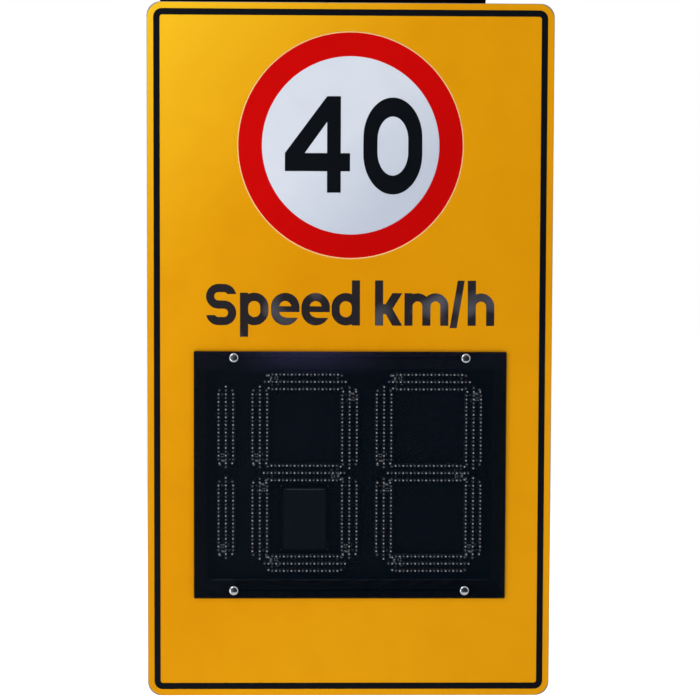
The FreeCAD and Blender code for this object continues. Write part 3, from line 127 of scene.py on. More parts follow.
class Finish(Tree):
    """A material with one Principled shader, whose variation comes from procedural nodes."""

    def __init__(self, slot, color, rough, tilt=0.0, **sockets):
        self.slot = slot
        self.material = bpy.data.materials.new(f"{slot}_finish")
        self.material.use_nodes = True
        super().__init__(self.material.node_tree)
        self.shader = self.tree.nodes["Principled BSDF"]
        self.color = (*linear(color), 1)
        self.normal = None
        self.shader.inputs["Base Color"].default_value = self.color
        self.shader.inputs["Roughness"].default_value = rough
        for socket, value in sockets.items():
            self.shader.inputs[socket.replace("_", " ")].default_value = value
        self.where = self.add("ShaderNodeTexCoord").outputs["Object"]
        self.along = self.add("ShaderNodeSeparateXYZ", {"Vector": self.where}).outputs
        if tilt:
            self.where = self.add("ShaderNodeMapping", {
                "Vector": self.where, "Rotation": (-tilt, 0, 0)}).outputs[0]

    def stretched(self, stretch):
        if stretch == (1, 1, 1):
            return self.where
        return self.add("ShaderNodeMapping", {"Vector": self.where, "Scale": stretch}).outputs[0]

    def noise(self, size, detail=2.0, stretch=(1, 1, 1)):
        """Soft noise with features of about this many millimetres."""
        return self.add("ShaderNodeTexNoise", {
            "Vector": self.stretched(stretch), "Scale": 1 / (size * MM), "Detail": detail}).outputs["Fac"]

    def cells(self, size, output="Distance", spread=1.0, **settings):
        return self.add("ShaderNodeTexVoronoi", {
            "Vector": self.where, "Scale": 1 / (size * MM), "Randomness": spread},
            **settings).outputs[output]

    def lines(self, pitch, direction, offset=0.0):
        """Saw wave from 0 to 1 along a direction, one period each pitch in millimetres."""
        scaled = self.math("MULTIPLY_ADD", self.dot(self.where, direction), 1 / (pitch * MM), offset)
        return self.math("FRACT", scaled)

    def ramp(self, axis, low, high, start=0.0, end=1.0):
        """A number from start to end between two places on an axis of the board, in millimetres."""
        return self.between(self.along[axis], BOARD[axis] + low * MM, BOARD[axis] + high * MM, start, end)

    def near(self, axis, middle, inner, outer):
        """1 up to inner millimetres from a place on an axis of the board, and 0 from outer on."""
        away = self.math("ABSOLUTE", self.math("SUBTRACT", self.along[axis], BOARD[axis] + middle * MM))
        return self.between(away, outer * MM, inner * MM)

    def bars(self, pitch, width, direction, offset=0.0):
        """1 on bars of this width, one each pitch, both in millimetres."""
        away = self.math("ABSOLUTE", self.math("SUBTRACT", self.lines(pitch, direction, offset), 0.5))
        return self.math("LESS_THAN", away, width / pitch / 2)

    def edges(self, radius):
        """1 where a corner turns within this many millimetres, for wear and for painted highlights along
        edges.
        """
        rounded = self.add("ShaderNodeBevel", {"Radius": radius * MM}, samples=4).outputs[0]
        flat = self.add("ShaderNodeNewGeometry").outputs["Normal"]
        return self.between(self.dot(rounded, flat), 0.995, 0.8)

    def tint(self, color, factor):
        """Mixes another colour in by a varying factor."""
        mix = self.add("ShaderNodeMix", {MIX_FACTOR: factor, MIX_A: self.color,
                                         MIX_B: (*linear(color), 1)}, data_type="RGBA")
        self.color = mix.outputs[MIX_RESULT]
        self.tree.links.new(self.color, self.shader.inputs["Base Color"])
        return self

    def roughness(self, factor, start, end):
        self.tree.links.new(self.between(factor, 0, 1, start, end), self.shader.inputs["Roughness"])
        return self

    def rounded(self, radius):
        """Shades corners as if rounded to this many millimetres."""
        self.normal = self.add("ShaderNodeBevel", {"Radius": radius * MM}, samples=4).outputs[0]
        self.tree.links.new(self.normal, self.shader.inputs["Normal"])
        return self

    def bump(self, height, depth):
        """Relief of this many millimetres from a height that runs from 0 to 1."""
        inputs = {"Height": height, "Strength": 1.0, "Distance": depth * MM}
        if self.normal is not None:
            inputs["Normal"] = self.normal
        self.normal = self.add("ShaderNodeBump", inputs).outputs[0]
        self.tree.links.new(self.normal, self.shader.inputs["Normal"])
        return self


KEYLINE = (246, 196, 128)
LATTICE_PITCH, LATTICE_WIDTH, DIAGONAL = 2.6, 0.34, 0.7071


def sheeting(name, color, light, deep, painted_shade=0.0):
    """Retroreflective film: a fine diamond lattice under a clear face, a little uneven in colour, with
    painted light: yellow painted brighter towards the upper left, white and red painted darker towards the
    lower right.
    """
    made = Finish(name, color, 0.5, Specular_IOR_Level=0.03)
    made.tint(light, made.between(made.noise(420, 1), 0.35, 0.65, 0, 0.5))
    made.tint(deep, made.between(made.noise(60, 3), 0.45, 0.75, 0, 0.14))
    # painted light and shade: yellow is painted brighter towards the upper left, white and red are painted
    # darker towards the lower right
    corner = made.math("SUBTRACT", made.along[HEIGHT], made.along[ACROSS])
    if name == "sheeting_yellow":
        made.tint((253, 202, 36), made.between(corner, 0.95, 1.5, 0, 0.9))
    else:
        made.tint(deep, made.between(corner, 0.9, 0.7, 0, painted_shade))
    if name == "sheeting_white":
        middle = at(0, 0, ROUNDEL_HEIGHT)
        away = made.add("ShaderNodeVectorMath", {0: made.where, 1: middle}, operation="SUBTRACT").outputs[0]
        flat = made.add("ShaderNodeVectorMath", {0: away, 1: (1, 0, 1)}, operation="MULTIPLY").outputs[0]
        reach = made.dot(flat, flat)
        made.tint(KEYLINE, made.between(reach, (KEYLINE_INNER * MM) ** 2, (KEYLINE_OUTER * MM) ** 2))
    rising, falling = [made.bars(LATTICE_PITCH, LATTICE_WIDTH, (DIAGONAL, 0, lean))
                       for lean in (DIAGONAL, -DIAGONAL)]
    made.tint(deep, made.product(made.math("MAXIMUM", rising, falling), 0.22))
    made.roughness(made.noise(9, 3), 0.42, 0.58)
    return made.bump(made.noise(16, 2), 0.05)


def metal(name, color, dark, rough, brushed=(1, 1, 1), grain=1.2, depth=0.012, shine=1.0, **sockets):
    """Metal with a fine grain, which may be drawn out into brush marks, and darker patches."""
    made = Finish(name, color, rough, Metallic=shine, **sockets)
    made.tint(dark, made.between(made.noise(34, 3), 0.35, 0.75, 0, 0.4))
    streaks = made.noise(grain, 3, brushed)
    made.roughness(streaks, rough * 0.75, rough * 1.3)
    return made.rounded(0.35).bump(streaks, depth)


def moulded(name, color, light, rough, grain=0.9, depth=0.03, **sockets):
    """Moulded plastic or rubber: fine spark-eroded grain, edges rubbed a little lighter."""
    made = Finish(name, color, rough, **sockets)
    made.tint(light, made.between(made.noise(24, 3), 0.4, 0.8, 0, 0.4))
    made.tint(light, made.product(made.edges(0.6), 0.5))
    made.roughness(made.noise(5, 3), rough * 0.85, min(1.0, rough * 1.2))
    return made.rounded(0.4).bump(made.noise(grain, 2), depth)


def seal():
    """Black rubber, with its lip along the bottom of the display's opening painted paler: a painted
    highlight where light catches it.
    """
    made = moulded("seal_rubber", (12, 13, 16), (26, 27, 30), 0.85, grain=1.4, depth=0.12)
    lip = made.product(made.ramp(HEIGHT, LIP_UNDER, LIP_OVER), made.ramp(HEIGHT, LIP_END, LIP_END - 1),
                       made.ramp(DEPTH, 5, 3), made.near(ACROSS, 0, LIP_REACH, LIP_REACH + 6))
    # painted highlight: the lip is painted paler where light catches it
    return made.tint((86, 90, 96), lip)


def powder_coat(name, color, light, dirt):
    """Textured paint, with faint patches of dust and edges rubbed lighter."""
    made = Finish(name, color, 0.5)
    made.tint(light, made.between(made.noise(180, 2), 0.4, 0.7, 0, 0.35))
    made.tint(dirt, made.between(made.noise(30, 4), 0.52, 0.8, 0, 0.16))
    made.tint(light, made.product(made.edges(0.8), 0.55))
    made.roughness(made.noise(3, 2), 0.42, 0.62)
    return made.rounded(0.5).bump(made.noise(0.8, 1), 0.045)


def galvanised(name, color, dark):
    """Hot-dipped zinc: spangles a few millimetres across, each with its own tone and gloss."""
    made = Finish(name, color, 0.4, Metallic=0.9)
    spangle = made.add("ShaderNodeSeparateColor", {
        "Color": made.cells(7, "Color")}).outputs[0]
    fine = made.noise(2.5, 4)
    made.tint(dark, made.between(spangle, 0.1, 0.9, 0.05, 0.5))
    made.tint((205, 208, 208), made.between(made.noise(60, 4), 0.5, 0.75, 0, 0.55))
    made.roughness(made.math("MULTIPLY_ADD", spangle, 0.5, made.product(fine, 0.5)), 0.3, 0.62)
    return made.rounded(0.6).bump(fine, 0.03)


def board(name, color, track, rim, rough):
    """A circuit board: solder mask over faint tracks, with a painted highlight along its edges."""
    made = Finish(name, color, rough, Coat_Weight=0.3, Coat_Roughness=0.3)
    tracks = made.math("GREATER_THAN", made.cells(3.1, "Distance", 0.7, distance="CHEBYCHEV"), 0.52)
    made.tint(track, made.product(tracks, 0.6))
    # painted highlight: the rim colour is painted along the board's edges
    made.tint(rim, made.product(made.edges(0.9), 0.8))
    return made.bump(tracks, 0.03)


def silicon():
    """Solar cells: dark blue silicon with fine silver fingers and wider busbars across them."""
    made = Finish("cell_blue", (14, 20, 44), 0.22, tilt=PANEL_TILT, Coat_Weight=0.5, Coat_Roughness=0.1)
    made.tint((30, 44, 92), made.between(made.noise(40, 2), 0.3, 0.7, 0, 0.7))
    made.tint((150, 154, 162), made.product(made.bars(2.1, 0.16, (1, 0, 0)), 0.4))
    made.tint((206, 208, 212), made.bars(24, 1.4, (0, 1, 0), 0.1))
    return made.roughness(made.noise(6, 2), 0.16, 0.3)


def ink():
    """Screen ink: blue-black on the roundel; on the legend below it, painted greyer and paler in patches, a
    painted reflection.
    """
    made = Finish("ink_black", (8, 13, 19), 0.34, Specular_IOR_Level=0.1)
    legend = made.product(made.near(HEIGHT, LEGEND_HEIGHT, LEGEND_RISE, LEGEND_RISE + 5),
                          made.near(ACROSS, 0, LEGEND_REACH, LEGEND_REACH + 10))
    # painted reflection: the legend's ink is painted greyer, and paler in patches
    made.tint((37, 34, 38), legend)
    patches = made.between(made.noise(70, 1), 0.56, 0.72, 0, 0.8)
    made.tint((92, 92, 100), made.product(patches, legend))
    return made.roughness(made.noise(40, 2), 0.28, 0.44).bump(made.noise(7, 2), 0.02)


def smoked():
    """Smoke-tinted polycarbonate, with a faint violet painted reflection along its top."""
    made = Finish("cover_smoked", (6, 15, 25), 0.05, Alpha=0.5, Specular_IOR_Level=0.4)
    # painted reflection: a violet glare painted along the cover's top, strongest a little left of the middle
    top = made.ramp(HEIGHT, -40, 4)
    left, right = made.ramp(ACROSS, -200, -110, 0.1, 0.8), made.ramp(ACROSS, 70, -50, 0.15, 1)
    made.tint((58, 56, 92), made.product(top, left, right))
    return made.roughness(made.noise(30, 3), 0.04, 0.1).bump(made.noise(140, 1), 0.02)


def radome():
    """Grey plastic, with painted shade darkening its flange and walls, and a thin painted glint along its
    top edge.
    """
    made = Finish("radome_plastic", (52, 61, 66), 0.4)
    made.tint((66, 73, 80), made.between(made.noise(30, 3), 0.4, 0.8, 0, 0.3))
    # painted shade: the flange and walls behind the front face are painted dark
    made.tint((10, 15, 23), made.ramp(DEPTH, 7, 10))
    # painted highlight: a thin glint painted along the top edge of the front face
    glint = made.product(made.ramp(HEIGHT, RADOME_TOP - 1, RADOME_TOP), made.ramp(DEPTH, 9, 7),
                         made.near(ACROSS, RADOME_ACROSS, RADOME_REACH, RADOME_REACH + 7))
    made.tint((200, 214, 222), glint)
    return made.rounded(1.2).bump(made.noise(1.1, 2), 0.02)


def lens_with_painted_glint(name, painted_glint):
    """A clear lens on an unlit LED, with a painted glint: emission makes a bright spot at the tip, over a
    dimly glowing body.
    """
    made = Finish(name, (96, 102, 112), 0.16, Coat_Weight=0.6, Coat_Roughness=0.04,
                  Emission_Color=(0.86, 0.92, 1.0, 1))
    made.tint((60, 64, 72), made.between(made.noise(5, 1), 0.3, 0.7, 0, 0.55))
    # painted highlight: emission, strongest at the tip, though the LED is unlit
    tip = made.ramp(DEPTH, LED_TIP + 0.4, LED_TIP, 0.04, painted_glint)
    made.tree.links.new(tip, made.shader.inputs["Emission Strength"])
    return made


def make_finishes():
    made = [
        # the last number of the white and red films is how strongly they are painted darker towards the
        # lower right
        sheeting("sheeting_yellow", (223, 149, 4), (235, 166, 14), (198, 125, 2)),
        sheeting("sheeting_white", (214, 221, 234), (226, 231, 240), (180, 188, 206), 0.6),
        sheeting("sheeting_red", (201, 4, 3), (210, 8, 6), (172, 1, 2), 0.25),
        metal("board_metal", (160, 163, 166), (128, 131, 134), 0.5, (1, 1, 14), shine=0.8),
        metal("dome_steel", (226, 228, 232), (180, 184, 190), 0.08, grain=0.6, depth=0.002),
        metal("zinc_steel", (190, 190, 184), (140, 140, 134), 0.3),
        metal("stainless", (196, 196, 194), (150, 150, 148), 0.26, (1, 1, 8)),
        metal("clamp_metal", (178, 180, 182), (128, 130, 132), 0.48, grain=2.2, depth=0.06),
        metal("tray_metal", (190, 192, 194), (150, 152, 154), 0.42, grain=0.7, depth=0.02, shine=0.7),
        metal("frame_black", (5, 4, 4), (3, 3, 3), 0.38, (1, 12, 12)),
        galvanised("galvanised", (186, 190, 192), (120, 126, 130)),
        powder_coat("housing_paint", (134, 138, 142), (158, 162, 166), (98, 96, 90)),
        powder_coat("door_paint", (146, 150, 154), (170, 174, 178), (104, 102, 96)),
        powder_coat("plate_black", (16, 30, 42), (24, 40, 54), (14, 22, 30)),
        seal(),
        moulded("battery_case", (32, 66, 128), (60, 96, 156), 0.45),
        moulded("chip_black", (26, 26, 27), (60, 60, 60), 0.5),
        moulded("nylon_black", (30, 30, 31), (58, 58, 60), 0.5),
        moulded("rocker_red", (176, 18, 18), (206, 52, 44), 0.3),
        moulded("backsheet_white", (196, 199, 203), (208, 211, 214), 0.6, grain=1.6),
        board("circuit_black", (15, 17, 21), (30, 33, 38), (104, 114, 124), 0.42),
        board("circuit_green", (22, 92, 46), (44, 128, 66), (150, 160, 110), 0.38),
        silicon(),
    ]
    # the number given to each LED lens is the strength of its painted glint
    made += [ink(), smoked(), radome(), lens_with_painted_glint("led_clear", 1.5), lens_with_painted_glint("led_red", 0.42)]
    # painted light: the solder glows faintly by emission, to brighten it behind the smoked cover
    made.append(metal("solder", (214, 218, 222), (150, 156, 164), 0.3, grain=0.9, shine=0.3,
                      Emission_Color=(0.8, 0.9, 1.0, 1), Emission_Strength=0.3))
    glass = Finish("panel_glass", (60, 78, 96), 0.06, Alpha=0.12, Specular_IOR_Level=0.5)
    glass.roughness(glass.noise(12, 3), 0.05, 0.16).bump(glass.noise(1.4, 2), 0.01)
    made.append(glass)
    made.append(metal("controller_case", (44, 46, 50), (26, 28, 30), 0.4))
    return {finish.slot: finish.material for finish in made}


finishes = make_finishes()
for node in nodes.values():
    for slot in node.material_slots:
        slot.material = finishes[slot.material.name.split(".")[0]]


# ---------------------------------------------------------------- added detail

BOARD_FRAME = Matrix.Translation(BOARD)
HINGE_DEPTH, HINGE_HEIGHT, FOOT_HEIGHT = 58.5, 590, 330
PANEL_FRAME = Matrix.Translation(at(0, HINGE_DEPTH, HINGE_HEIGHT)) @ Matrix.Rotation(PANEL_TILT, 4, "X")
STRUT_FRAME = Matrix.Translation(at(0, HINGE_DEPTH, FOOT_HEIGHT)) @ Matrix.Rotation(STRUT_TILT, 4, "X")
FORWARD, BACK, UP, DOWN = (0, -1, 0), (0, 1, 0), (0, 0, 1), (0, 0, -1)


def hexed(corner):
    """Cuts a turned form to a hexagon, its corners this far from the axis."""
    flat = corner * math.cos(math.pi / 6)

    def shape(angle, radius):
        off = (angle + math.pi / 6) % (math.pi / 3) - math.pi / 6
        return min(radius, flat / math.cos(off))
    return shape


def fluted(count, depth):
    """Cuts this many soft grooves round a turned form, as deep as this share of its radius."""
    def shape(angle, radius):
        return radius * (1 - depth * (0.5 + 0.5 * math.cos(count * angle)))
    return shape


def chamfer(corner, start, end):
    """Profile of a hexagon's coned end, from the face at start to the full corner towards end."""
    face = corner * 0.83
    way = 1 if end > start else -1
    steps = [face + (corner - face) * step / 3 for step in range(4)]
    return [(radius, start + way * (radius - face) * 0.58) for radius in steps]


def threads(radius, start, end, pitch=1.3):
    """Profile of a thread, drawn as a row of ridges."""
    count = max(1, round(abs(end - start) / pitch))
    step = (end - start) / count
    rings = []
    for turn in range(count):
        rings += [(radius - 0.45, start + step * turn), (radius, start + step * (turn + 0.3)),
                  (radius, start + step * (turn + 0.6))]
    return rings + [(radius - 0.6, end)]


class Shape:
    """One piece, built part by part in millimetres in its own frame."""

    def __init__(self, base=BOARD_FRAME):
        self.bm = bmesh.new()
        self.base = base
        self.local = Matrix()

    def turned(self, place, axis, profile, shape=None, closed=False, sides=24):
        turn = Vector(UP).rotation_difference(Vector(axis)).to_matrix()
        rings = []
        for radius, along in profile:
            ring = []
            for step in range(sides):
                angle = math.tau * step / sides
                reach = shape(angle, radius) if shape else radius
                spot = Vector((reach * math.cos(angle), reach * math.sin(angle), along))
                ring.append(self.bm.verts.new(self.local @ (Vector(place) + turn @ spot)))
            rings.append(ring)
        pairs = list(zip(rings, rings[1:]))
        if closed:
            pairs.append((rings[-1], rings[0]))
        else:
            self.bm.faces.new(rings[0])
            self.bm.faces.new(rings[-1])
        for low, high in pairs:
            for step in range(sides):
                after = (step + 1) % sides
                self.bm.faces.new((low[step], low[after], high[after], high[step]))

    def block(self, middle, size, soft=0.3, taper=1.0):
        """A box with softened edges; its far end in depth may be narrower."""
        made = bmesh.ops.create_cube(self.bm, size=1)["verts"]
        for vert in made:
            narrow = taper if vert.co.y > 0 else 1.0
            vert.co = Vector((vert.co.x * size[0] * narrow, vert.co.y * size[1],
                              vert.co.z * size[2])) + Vector(middle)
        edges = dict.fromkeys(edge for vert in made for edge in vert.link_edges)
        done = bmesh.ops.bevel(self.bm, geom=list(edges), offset=soft, segments=2, affect="EDGES",
                               profile=0.7)
        if self.local != Matrix():
            bmesh.ops.transform(self.bm, matrix=self.local, verts=list(
                {vert for face in done["faces"] for vert in face.verts}))

    def stud(self, place, axis, radius, start, end):
        self.turned(place, axis, threads(radius, start, end))

    def washer(self, place, axis, radius, hole, start, end):
        soft = min(0.3, (end - start) / 3)
        self.turned(place, axis, [(hole, start), (radius - soft, start), (radius, start + soft),
                                  (radius, end - soft), (radius - soft, end), (hole, end)], closed=True)

    def nut(self, place, axis, corner, hole, start, end):
        profile = ([(hole + 0.4, start)] + chamfer(corner, start, end)
                   + chamfer(corner, end, start)[::-1] + [(hole + 0.4, end), (hole, end - 0.4),
                                                           (hole, start + 0.4)])
        self.turned(place, axis, profile, hexed(corner), closed=True)

    def head(self, place, axis, corner, start, end):
        """A forged hexagon head with a dished top."""
        face = corner * 0.83
        profile = ([(face, start), (corner, start + 0.3)] + chamfer(corner, end, start)[::-1]
                   + [(face * 0.8, end), (face * 0.72, end - 0.35)])
        self.turned(place, axis, profile, hexed(corner))

    def flanged(self, place, axis, radius, start, end):
        """A hexagon head on a round flange."""
        rim = start + (end - start) * 0.3
        self.turned(place, axis, [(radius - 0.3, start), (radius, start + 0.3), (radius, rim - 0.5),
                                  (radius - 0.6, rim), (radius * 0.9, rim + 0.2)])
        self.head(place, axis, radius * 0.86, rim - 0.3, end)

    def dome(self, place, axis, radius, rise, skirt=0.6, sides=40):
        """A low round head: a short skirt and a cap of a sphere."""
        lift = rise - skirt
        ball = (radius ** 2 + lift ** 2) / (2 * lift)
        slope = math.asin(radius / ball)
        arc = [(ball * math.sin(slope * share), skirt + lift - ball * (1 - math.cos(slope * share)))
               for share in [1 - step / 14 for step in range(14)] + [0.01]]
        self.turned(place, axis, [(radius - 0.3, 0), (radius, 0.2)] + arc, sides=sides)

    def cap(self, place, axis, radius, rise, flat=0.74, crown=9, rim=60):
        """A polished round head: a nearly flat crown, then a shoulder that turns over to the rim."""
        steps = 26
        edge = radius - 0.1
        shares = [(step + 0.5) / steps for step in range(steps)]
        slopes = [crown * share / flat if share < flat
                  else crown + (rim - crown) * (share - flat) / (1 - flat) for share in shares]
        falls = [math.tan(math.radians(slope)) * edge / steps for slope in slopes]
        profile = [(edge * (steps - step) / steps + 0.01, rise - sum(falls[:steps - step]))
                   for step in range(steps + 1)]
        self.turned(place, axis, [(radius - 0.3, 0), (radius, 0.2)] + profile, sides=48)

    def piece(self, name, slot, body, *replaced, smooth=38, finish=None):
        bmesh.ops.recalc_face_normals(self.bm, faces=self.bm.faces)
        self.bm.transform(self.base @ Matrix.Scale(MM, 4))
        mesh = bpy.data.meshes.new(name)
        self.bm.to_mesh(mesh)
        self.bm.free()
        mesh.polygons.foreach_set("use_smooth", [True] * len(mesh.polygons))
        mesh.set_sharp_from_angle(angle=math.radians(smooth))
        mesh.materials.append(finishes[finish or slot])
        made = bpy.data.objects.new(name, mesh)
        bpy.context.scene.collection.objects.link(made)
        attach(made, body)
        if replaced:
            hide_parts(*replaced)
        return made


def spots(name):
    """Where a node's fasteners stand on the board: the middles of its loose solids, in millimetres."""
    bm = bmesh.new()
    bm.from_mesh(nodes[name].data)
    bmesh.ops.remove_doubles(bm, verts=bm.verts, dist=1e-6)
    left, found = set(bm.verts), set()
    while left:
        waiting, part = [left.pop()], []
        while waiting:
            vert = waiting.pop()
            part.append(nodes[name].matrix_world @ vert.co)
            near = {edge.other_vert(vert) for edge in vert.link_edges} & left
            left -= near
            waiting += near
        middle = [(min(values) + max(values)) / 2 for values in
                  ([point.x - BOARD.x for point in part], [point.z - BOARD.z for point in part])]
        found.add(tuple(round(value / MM * 2) / 2 for value in middle))
    bm.free()
    return sorted(found)


def add_window_screws():
    """Polished round heads at the cover's corners, with washers and nuts behind."""
    made = Shape()
    for across, height in spots("window_fasteners"):
        made.cap((across, -5, height), FORWARD, 8.1, 4.2)
        made.stud((across, 0, height), BACK, 3, -5.1, 11.5)
        made.washer((across, 0, height), BACK, 6, 3, 2.5, 3.7)
        made.nut((across, 0, height), BACK, 5.8, 3, 3.7, 8.7)
    made.piece("window_screws", "dome_steel", "sign", "window_fasteners")


CHANNEL_DEPTH, CHANNEL_NUT = 32.5, (20, 8, 32)
CLAMP_SIDE = 50


def add_board_bolts():
    """Studs, bolts and nuts that run straight back from the board, through rails, clamps and uprights."""
    housing = Shape()
    for across, height in spots("housing_fasteners"):
        here = (across, 0, height)
        housing.stud(here, BACK, 2.5, 2.5, 15)
        housing.washer(here, BACK, 5, 2.5, 6, 7)
        housing.nut(here, BACK, 4.6, 2.5, 7, 11)
    housing.piece("housing_nuts", "zinc_steel", "sign", "housing_fasteners")

    rails = Shape()
    for across, height in spots("rail_bolts"):
        here = (across, 0, height)
        rails.stud(here, BACK, 4, 5, 15)
        rails.nut(here, BACK, 7.5, 4, 5, 11.5)
    rails.piece("rail_nuts", "zinc_steel", "sign", "rail_bolts")

    clamps = Shape()
    for across, height in spots("clamp_bolts"):
        here = (across, 0, height)
        if abs(across) > CLAMP_SIDE:
            clamps.stud(here, BACK, 5, 109, 134.5)
            clamps.head(here, BACK, 9.2, 134, 140.4)
            clamps.nut(here, BACK, 9.2, 5, 110, 118)
        else:
            clamps.stud(here, BACK, 5, 29.5, 49.5)
            clamps.head(here, BACK, 9.2, 48.5, 54.9)
            clamps.block((across, CHANNEL_DEPTH, height), CHANNEL_NUT, 1)
    clamps.piece("clamp_fixings", "zinc_steel", "sign", "clamp_bolts")

    posts = Shape()
    for across, height in spots("upright_bolts"):
        here = (across, 0, height)
        posts.stud(here, BACK, 4, 29.5, 74.5)
        posts.head(here, BACK, 7.5, 73.5, 78.8)
        posts.block((across, CHANNEL_DEPTH, height), CHANNEL_NUT, 1)
    posts.piece("upright_fixings", "zinc_steel", "sign", "upright_bolts")


PANEL_RAIL, PANEL_RAIL_ENDS = 202, (10, 648)
PANEL_PIVOT, BRACE_CLAMP = (0, 260, 0), (0, 254, 0)


def add_cross_bolts():
    """Bolts that lie across the sign, at the pivots and the braces' clamps, and the panel rails' studs."""
    pivots = Shape()
    panel = Shape(PANEL_FRAME)
    braces = Shape(STRUT_FRAME)
    for side in (-1, 1):
        out = (side, 0, 0)
        hinge, foot = (0, HINGE_DEPTH, HINGE_HEIGHT), (0, HINGE_DEPTH, FOOT_HEIGHT)
        pivots.stud(hinge, out, 5, 145, 190)
        pivots.flanged(hinge, out, 9, 189.3, 196)
        pivots.nut(hinge, out, 9.2, 5, 147, 155)
        pivots.stud(foot, out, 4, 147, 191)
        pivots.flanged(foot, out, 7.5, 190.3, 195)
        pivots.nut(foot, out, 7.5, 4, 148.5, 155)

        panel.stud(PANEL_PIVOT, out, 4, 178, 195.3)
        panel.washer(PANEL_PIVOT, out, 7, 4, 189, 190)
        panel.flanged(PANEL_PIVOT, out, 7.5, 194.6, 199.3)
        panel.nut(PANEL_PIVOT, out, 7.5, 4, 179.5, 186)
        for along in PANEL_RAIL_ENDS:
            here = (PANEL_RAIL * side, along, 0)
            panel.stud(here, UP, 3, 13, 29)
            panel.nut(here, UP, 5.8, 3, 15, 19)
            panel.nut(here, UP, 5.8, 3, 23.8, 27.8)

        inner_face = (186 * side, *BRACE_CLAMP[1:])
        braces.stud(BRACE_CLAMP, out, 4, 185, 205.3)
        braces.head(inner_face, (-side, 0, 0), 7.5, 0, 5.3)
        braces.washer(BRACE_CLAMP, out, 9, 4, 194.6, 196.3)
        braces.nut(BRACE_CLAMP, out, 7.5, 4, 195.8, 202.8)
    pivots.piece("pivot_fixings", "zinc_steel", "sign", "pivot_bolts")
    panel.piece("panel_fixings", "zinc_steel", "solar_panel", "panel_bolts")
    braces.piece("brace_fixings", "zinc_steel", "lower_struts", "strut_clamp_bolts")


LOCK_ACROSS, LOCK_HEIGHT = 76, -235


def add_locks():
    """Wing grips on ribbed discs, each with its spindle and cam."""
    for body, side in (("electronics_lock", 1), ("battery_lock", -1)):
        made = Shape()
        here = (LOCK_ACROSS * side, 0, LOCK_HEIGHT)
        made.turned(here, BACK, [(5, 65.2), (5, 81)])
        made.turned(here, BACK, [(8, 65.2), (8, 67.5)])
        made.block((here[0], 66.35, LOCK_HEIGHT - 13), (12, 2.3, 26), 0.4)
        made.turned(here, BACK, [(10.4, 80.3), (11, 80.9), (11, 82.6), (9.6, 83.5)],
                    fluted(24, 0.04), sides=96)
        made.turned(here, BACK, [(6.5, 83.2), (6.2, 84.4), (5.4, 84.9)])
        made.block((here[0], 87, LOCK_HEIGHT), (5, 8, 20), 1.2, 0.7)
        made.piece(f"{body}_grip", "nylon_black", body, body)


GLANDS, VENT, SERVICE_DEPTH, FLOOR = (60, 104), -60, 48, -436


def add_glands():
    """Cable glands with ribbed dome nuts, blanked by rubber plugs, and the ribbed breather."""
    glands, plugs, vent = Shape(), Shape(), Shape()
    for across in GLANDS:
        here = (across, SERVICE_DEPTH, FLOOR)
        glands.turned(here, UP, [(4, -19), (6.4, -20), (7.5, -19.2), (8.6, -16), (10.4, -7), (10.4, -5.5),
                                 (4, -5.5)], fluted(18, 0.07), closed=True, sides=72)
        glands.nut(here, UP, 11.5, 8, -5.8, -0.1)
        glands.turned(here, UP, [(4, -6)] + threads(8, -5.9, 10) + [(4, 10)], closed=True)
        glands.nut(here, UP, 11.5, 8, 2.1, 7)
        plugs.dome((across, SERVICE_DEPTH, FLOOR - 18.4), DOWN, 3.95, 1.4, 0.4)
        plugs.turned(here, UP, [(3.9, -18.6), (3.9, -8)])
    glands.piece("gland_bodies", "nylon_black", "sign", "cable_glands")
    plugs.piece("gland_plugs", "seal_rubber", "sign")
    here = (VENT, SERVICE_DEPTH, FLOOR)
    vent.turned(here, DOWN, [(8.6, 0.05), (9, 0.5), (9, 3.3), (8.3, 4), (4, 4), (3.4, 3.4)],
                fluted(12, 0.09), sides=96)
    vent.turned(here, UP, threads(6, -0.5, 8))
    vent.nut(here, UP, 9, 6, 2.1, 5.5)
    vent.piece("breather", "nylon_black", "sign", "vent_plug")


DIGIT_MIDDLE, SEGMENT_UP, DIGIT_WIDTH = -211, 79.5, 156
TENS_LEFT, UNITS_LEFT, HUNDREDS = -156, 60, -215
BOARD_FRONT = 16.6


def digit_boards(left):
    right, middle = left + DIGIT_WIDTH, left + DIGIT_WIDTH / 2
    up, down = DIGIT_MIDDLE + SEGMENT_UP, DIGIT_MIDDLE - SEGMENT_UP
    return [(left, up, 90), (left, down, -90), (right, up, -90), (right, down, 90),
            (middle, DIGIT_MIDDLE + 2 * SEGMENT_UP, 0), (middle, DIGIT_MIDDLE, 180),
            (middle, DIGIT_MIDDLE - 2 * SEGMENT_UP, 0)]


# the middle of each segment board, and its turn in degrees from level with its feed end on the left
SEGMENTS = ([(HUNDREDS, DIGIT_MIDDLE + SEGMENT_UP, 90), (HUNDREDS, DIGIT_MIDDLE - SEGMENT_UP, 90)]
            + digit_boards(TENS_LEFT) + digit_boards(UNITS_LEFT))


def segment_frames():
    for across, height, turn in SEGMENTS:
        yield (Matrix.Translation((across, BOARD_FRONT, height))
               @ Matrix.Rotation(math.radians(-turn), 4, "Y"))


LED_COUNT, LED_PITCH, LED_SHIFT, LED_ROWS, LED_TUCK = 22, 6.68, 0.8, 12.7, 1.5
LED_RADIUS, LED_LENGTH = 2.3, 8.6


def led_places():
    """LED centres on a level segment: a full middle row, two shorter outer rows, tucked in at their ends."""
    for place in range(LED_COUNT):
        along = (place - (LED_COUNT - 1) / 2) * LED_PITCH + LED_SHIFT
        yield place, along, 0
        if 0 < place < LED_COUNT - 1:
            side = LED_ROWS - (LED_TUCK if place in (1, LED_COUNT - 2) else 0)
            yield place, along, side
            yield place, along, -side


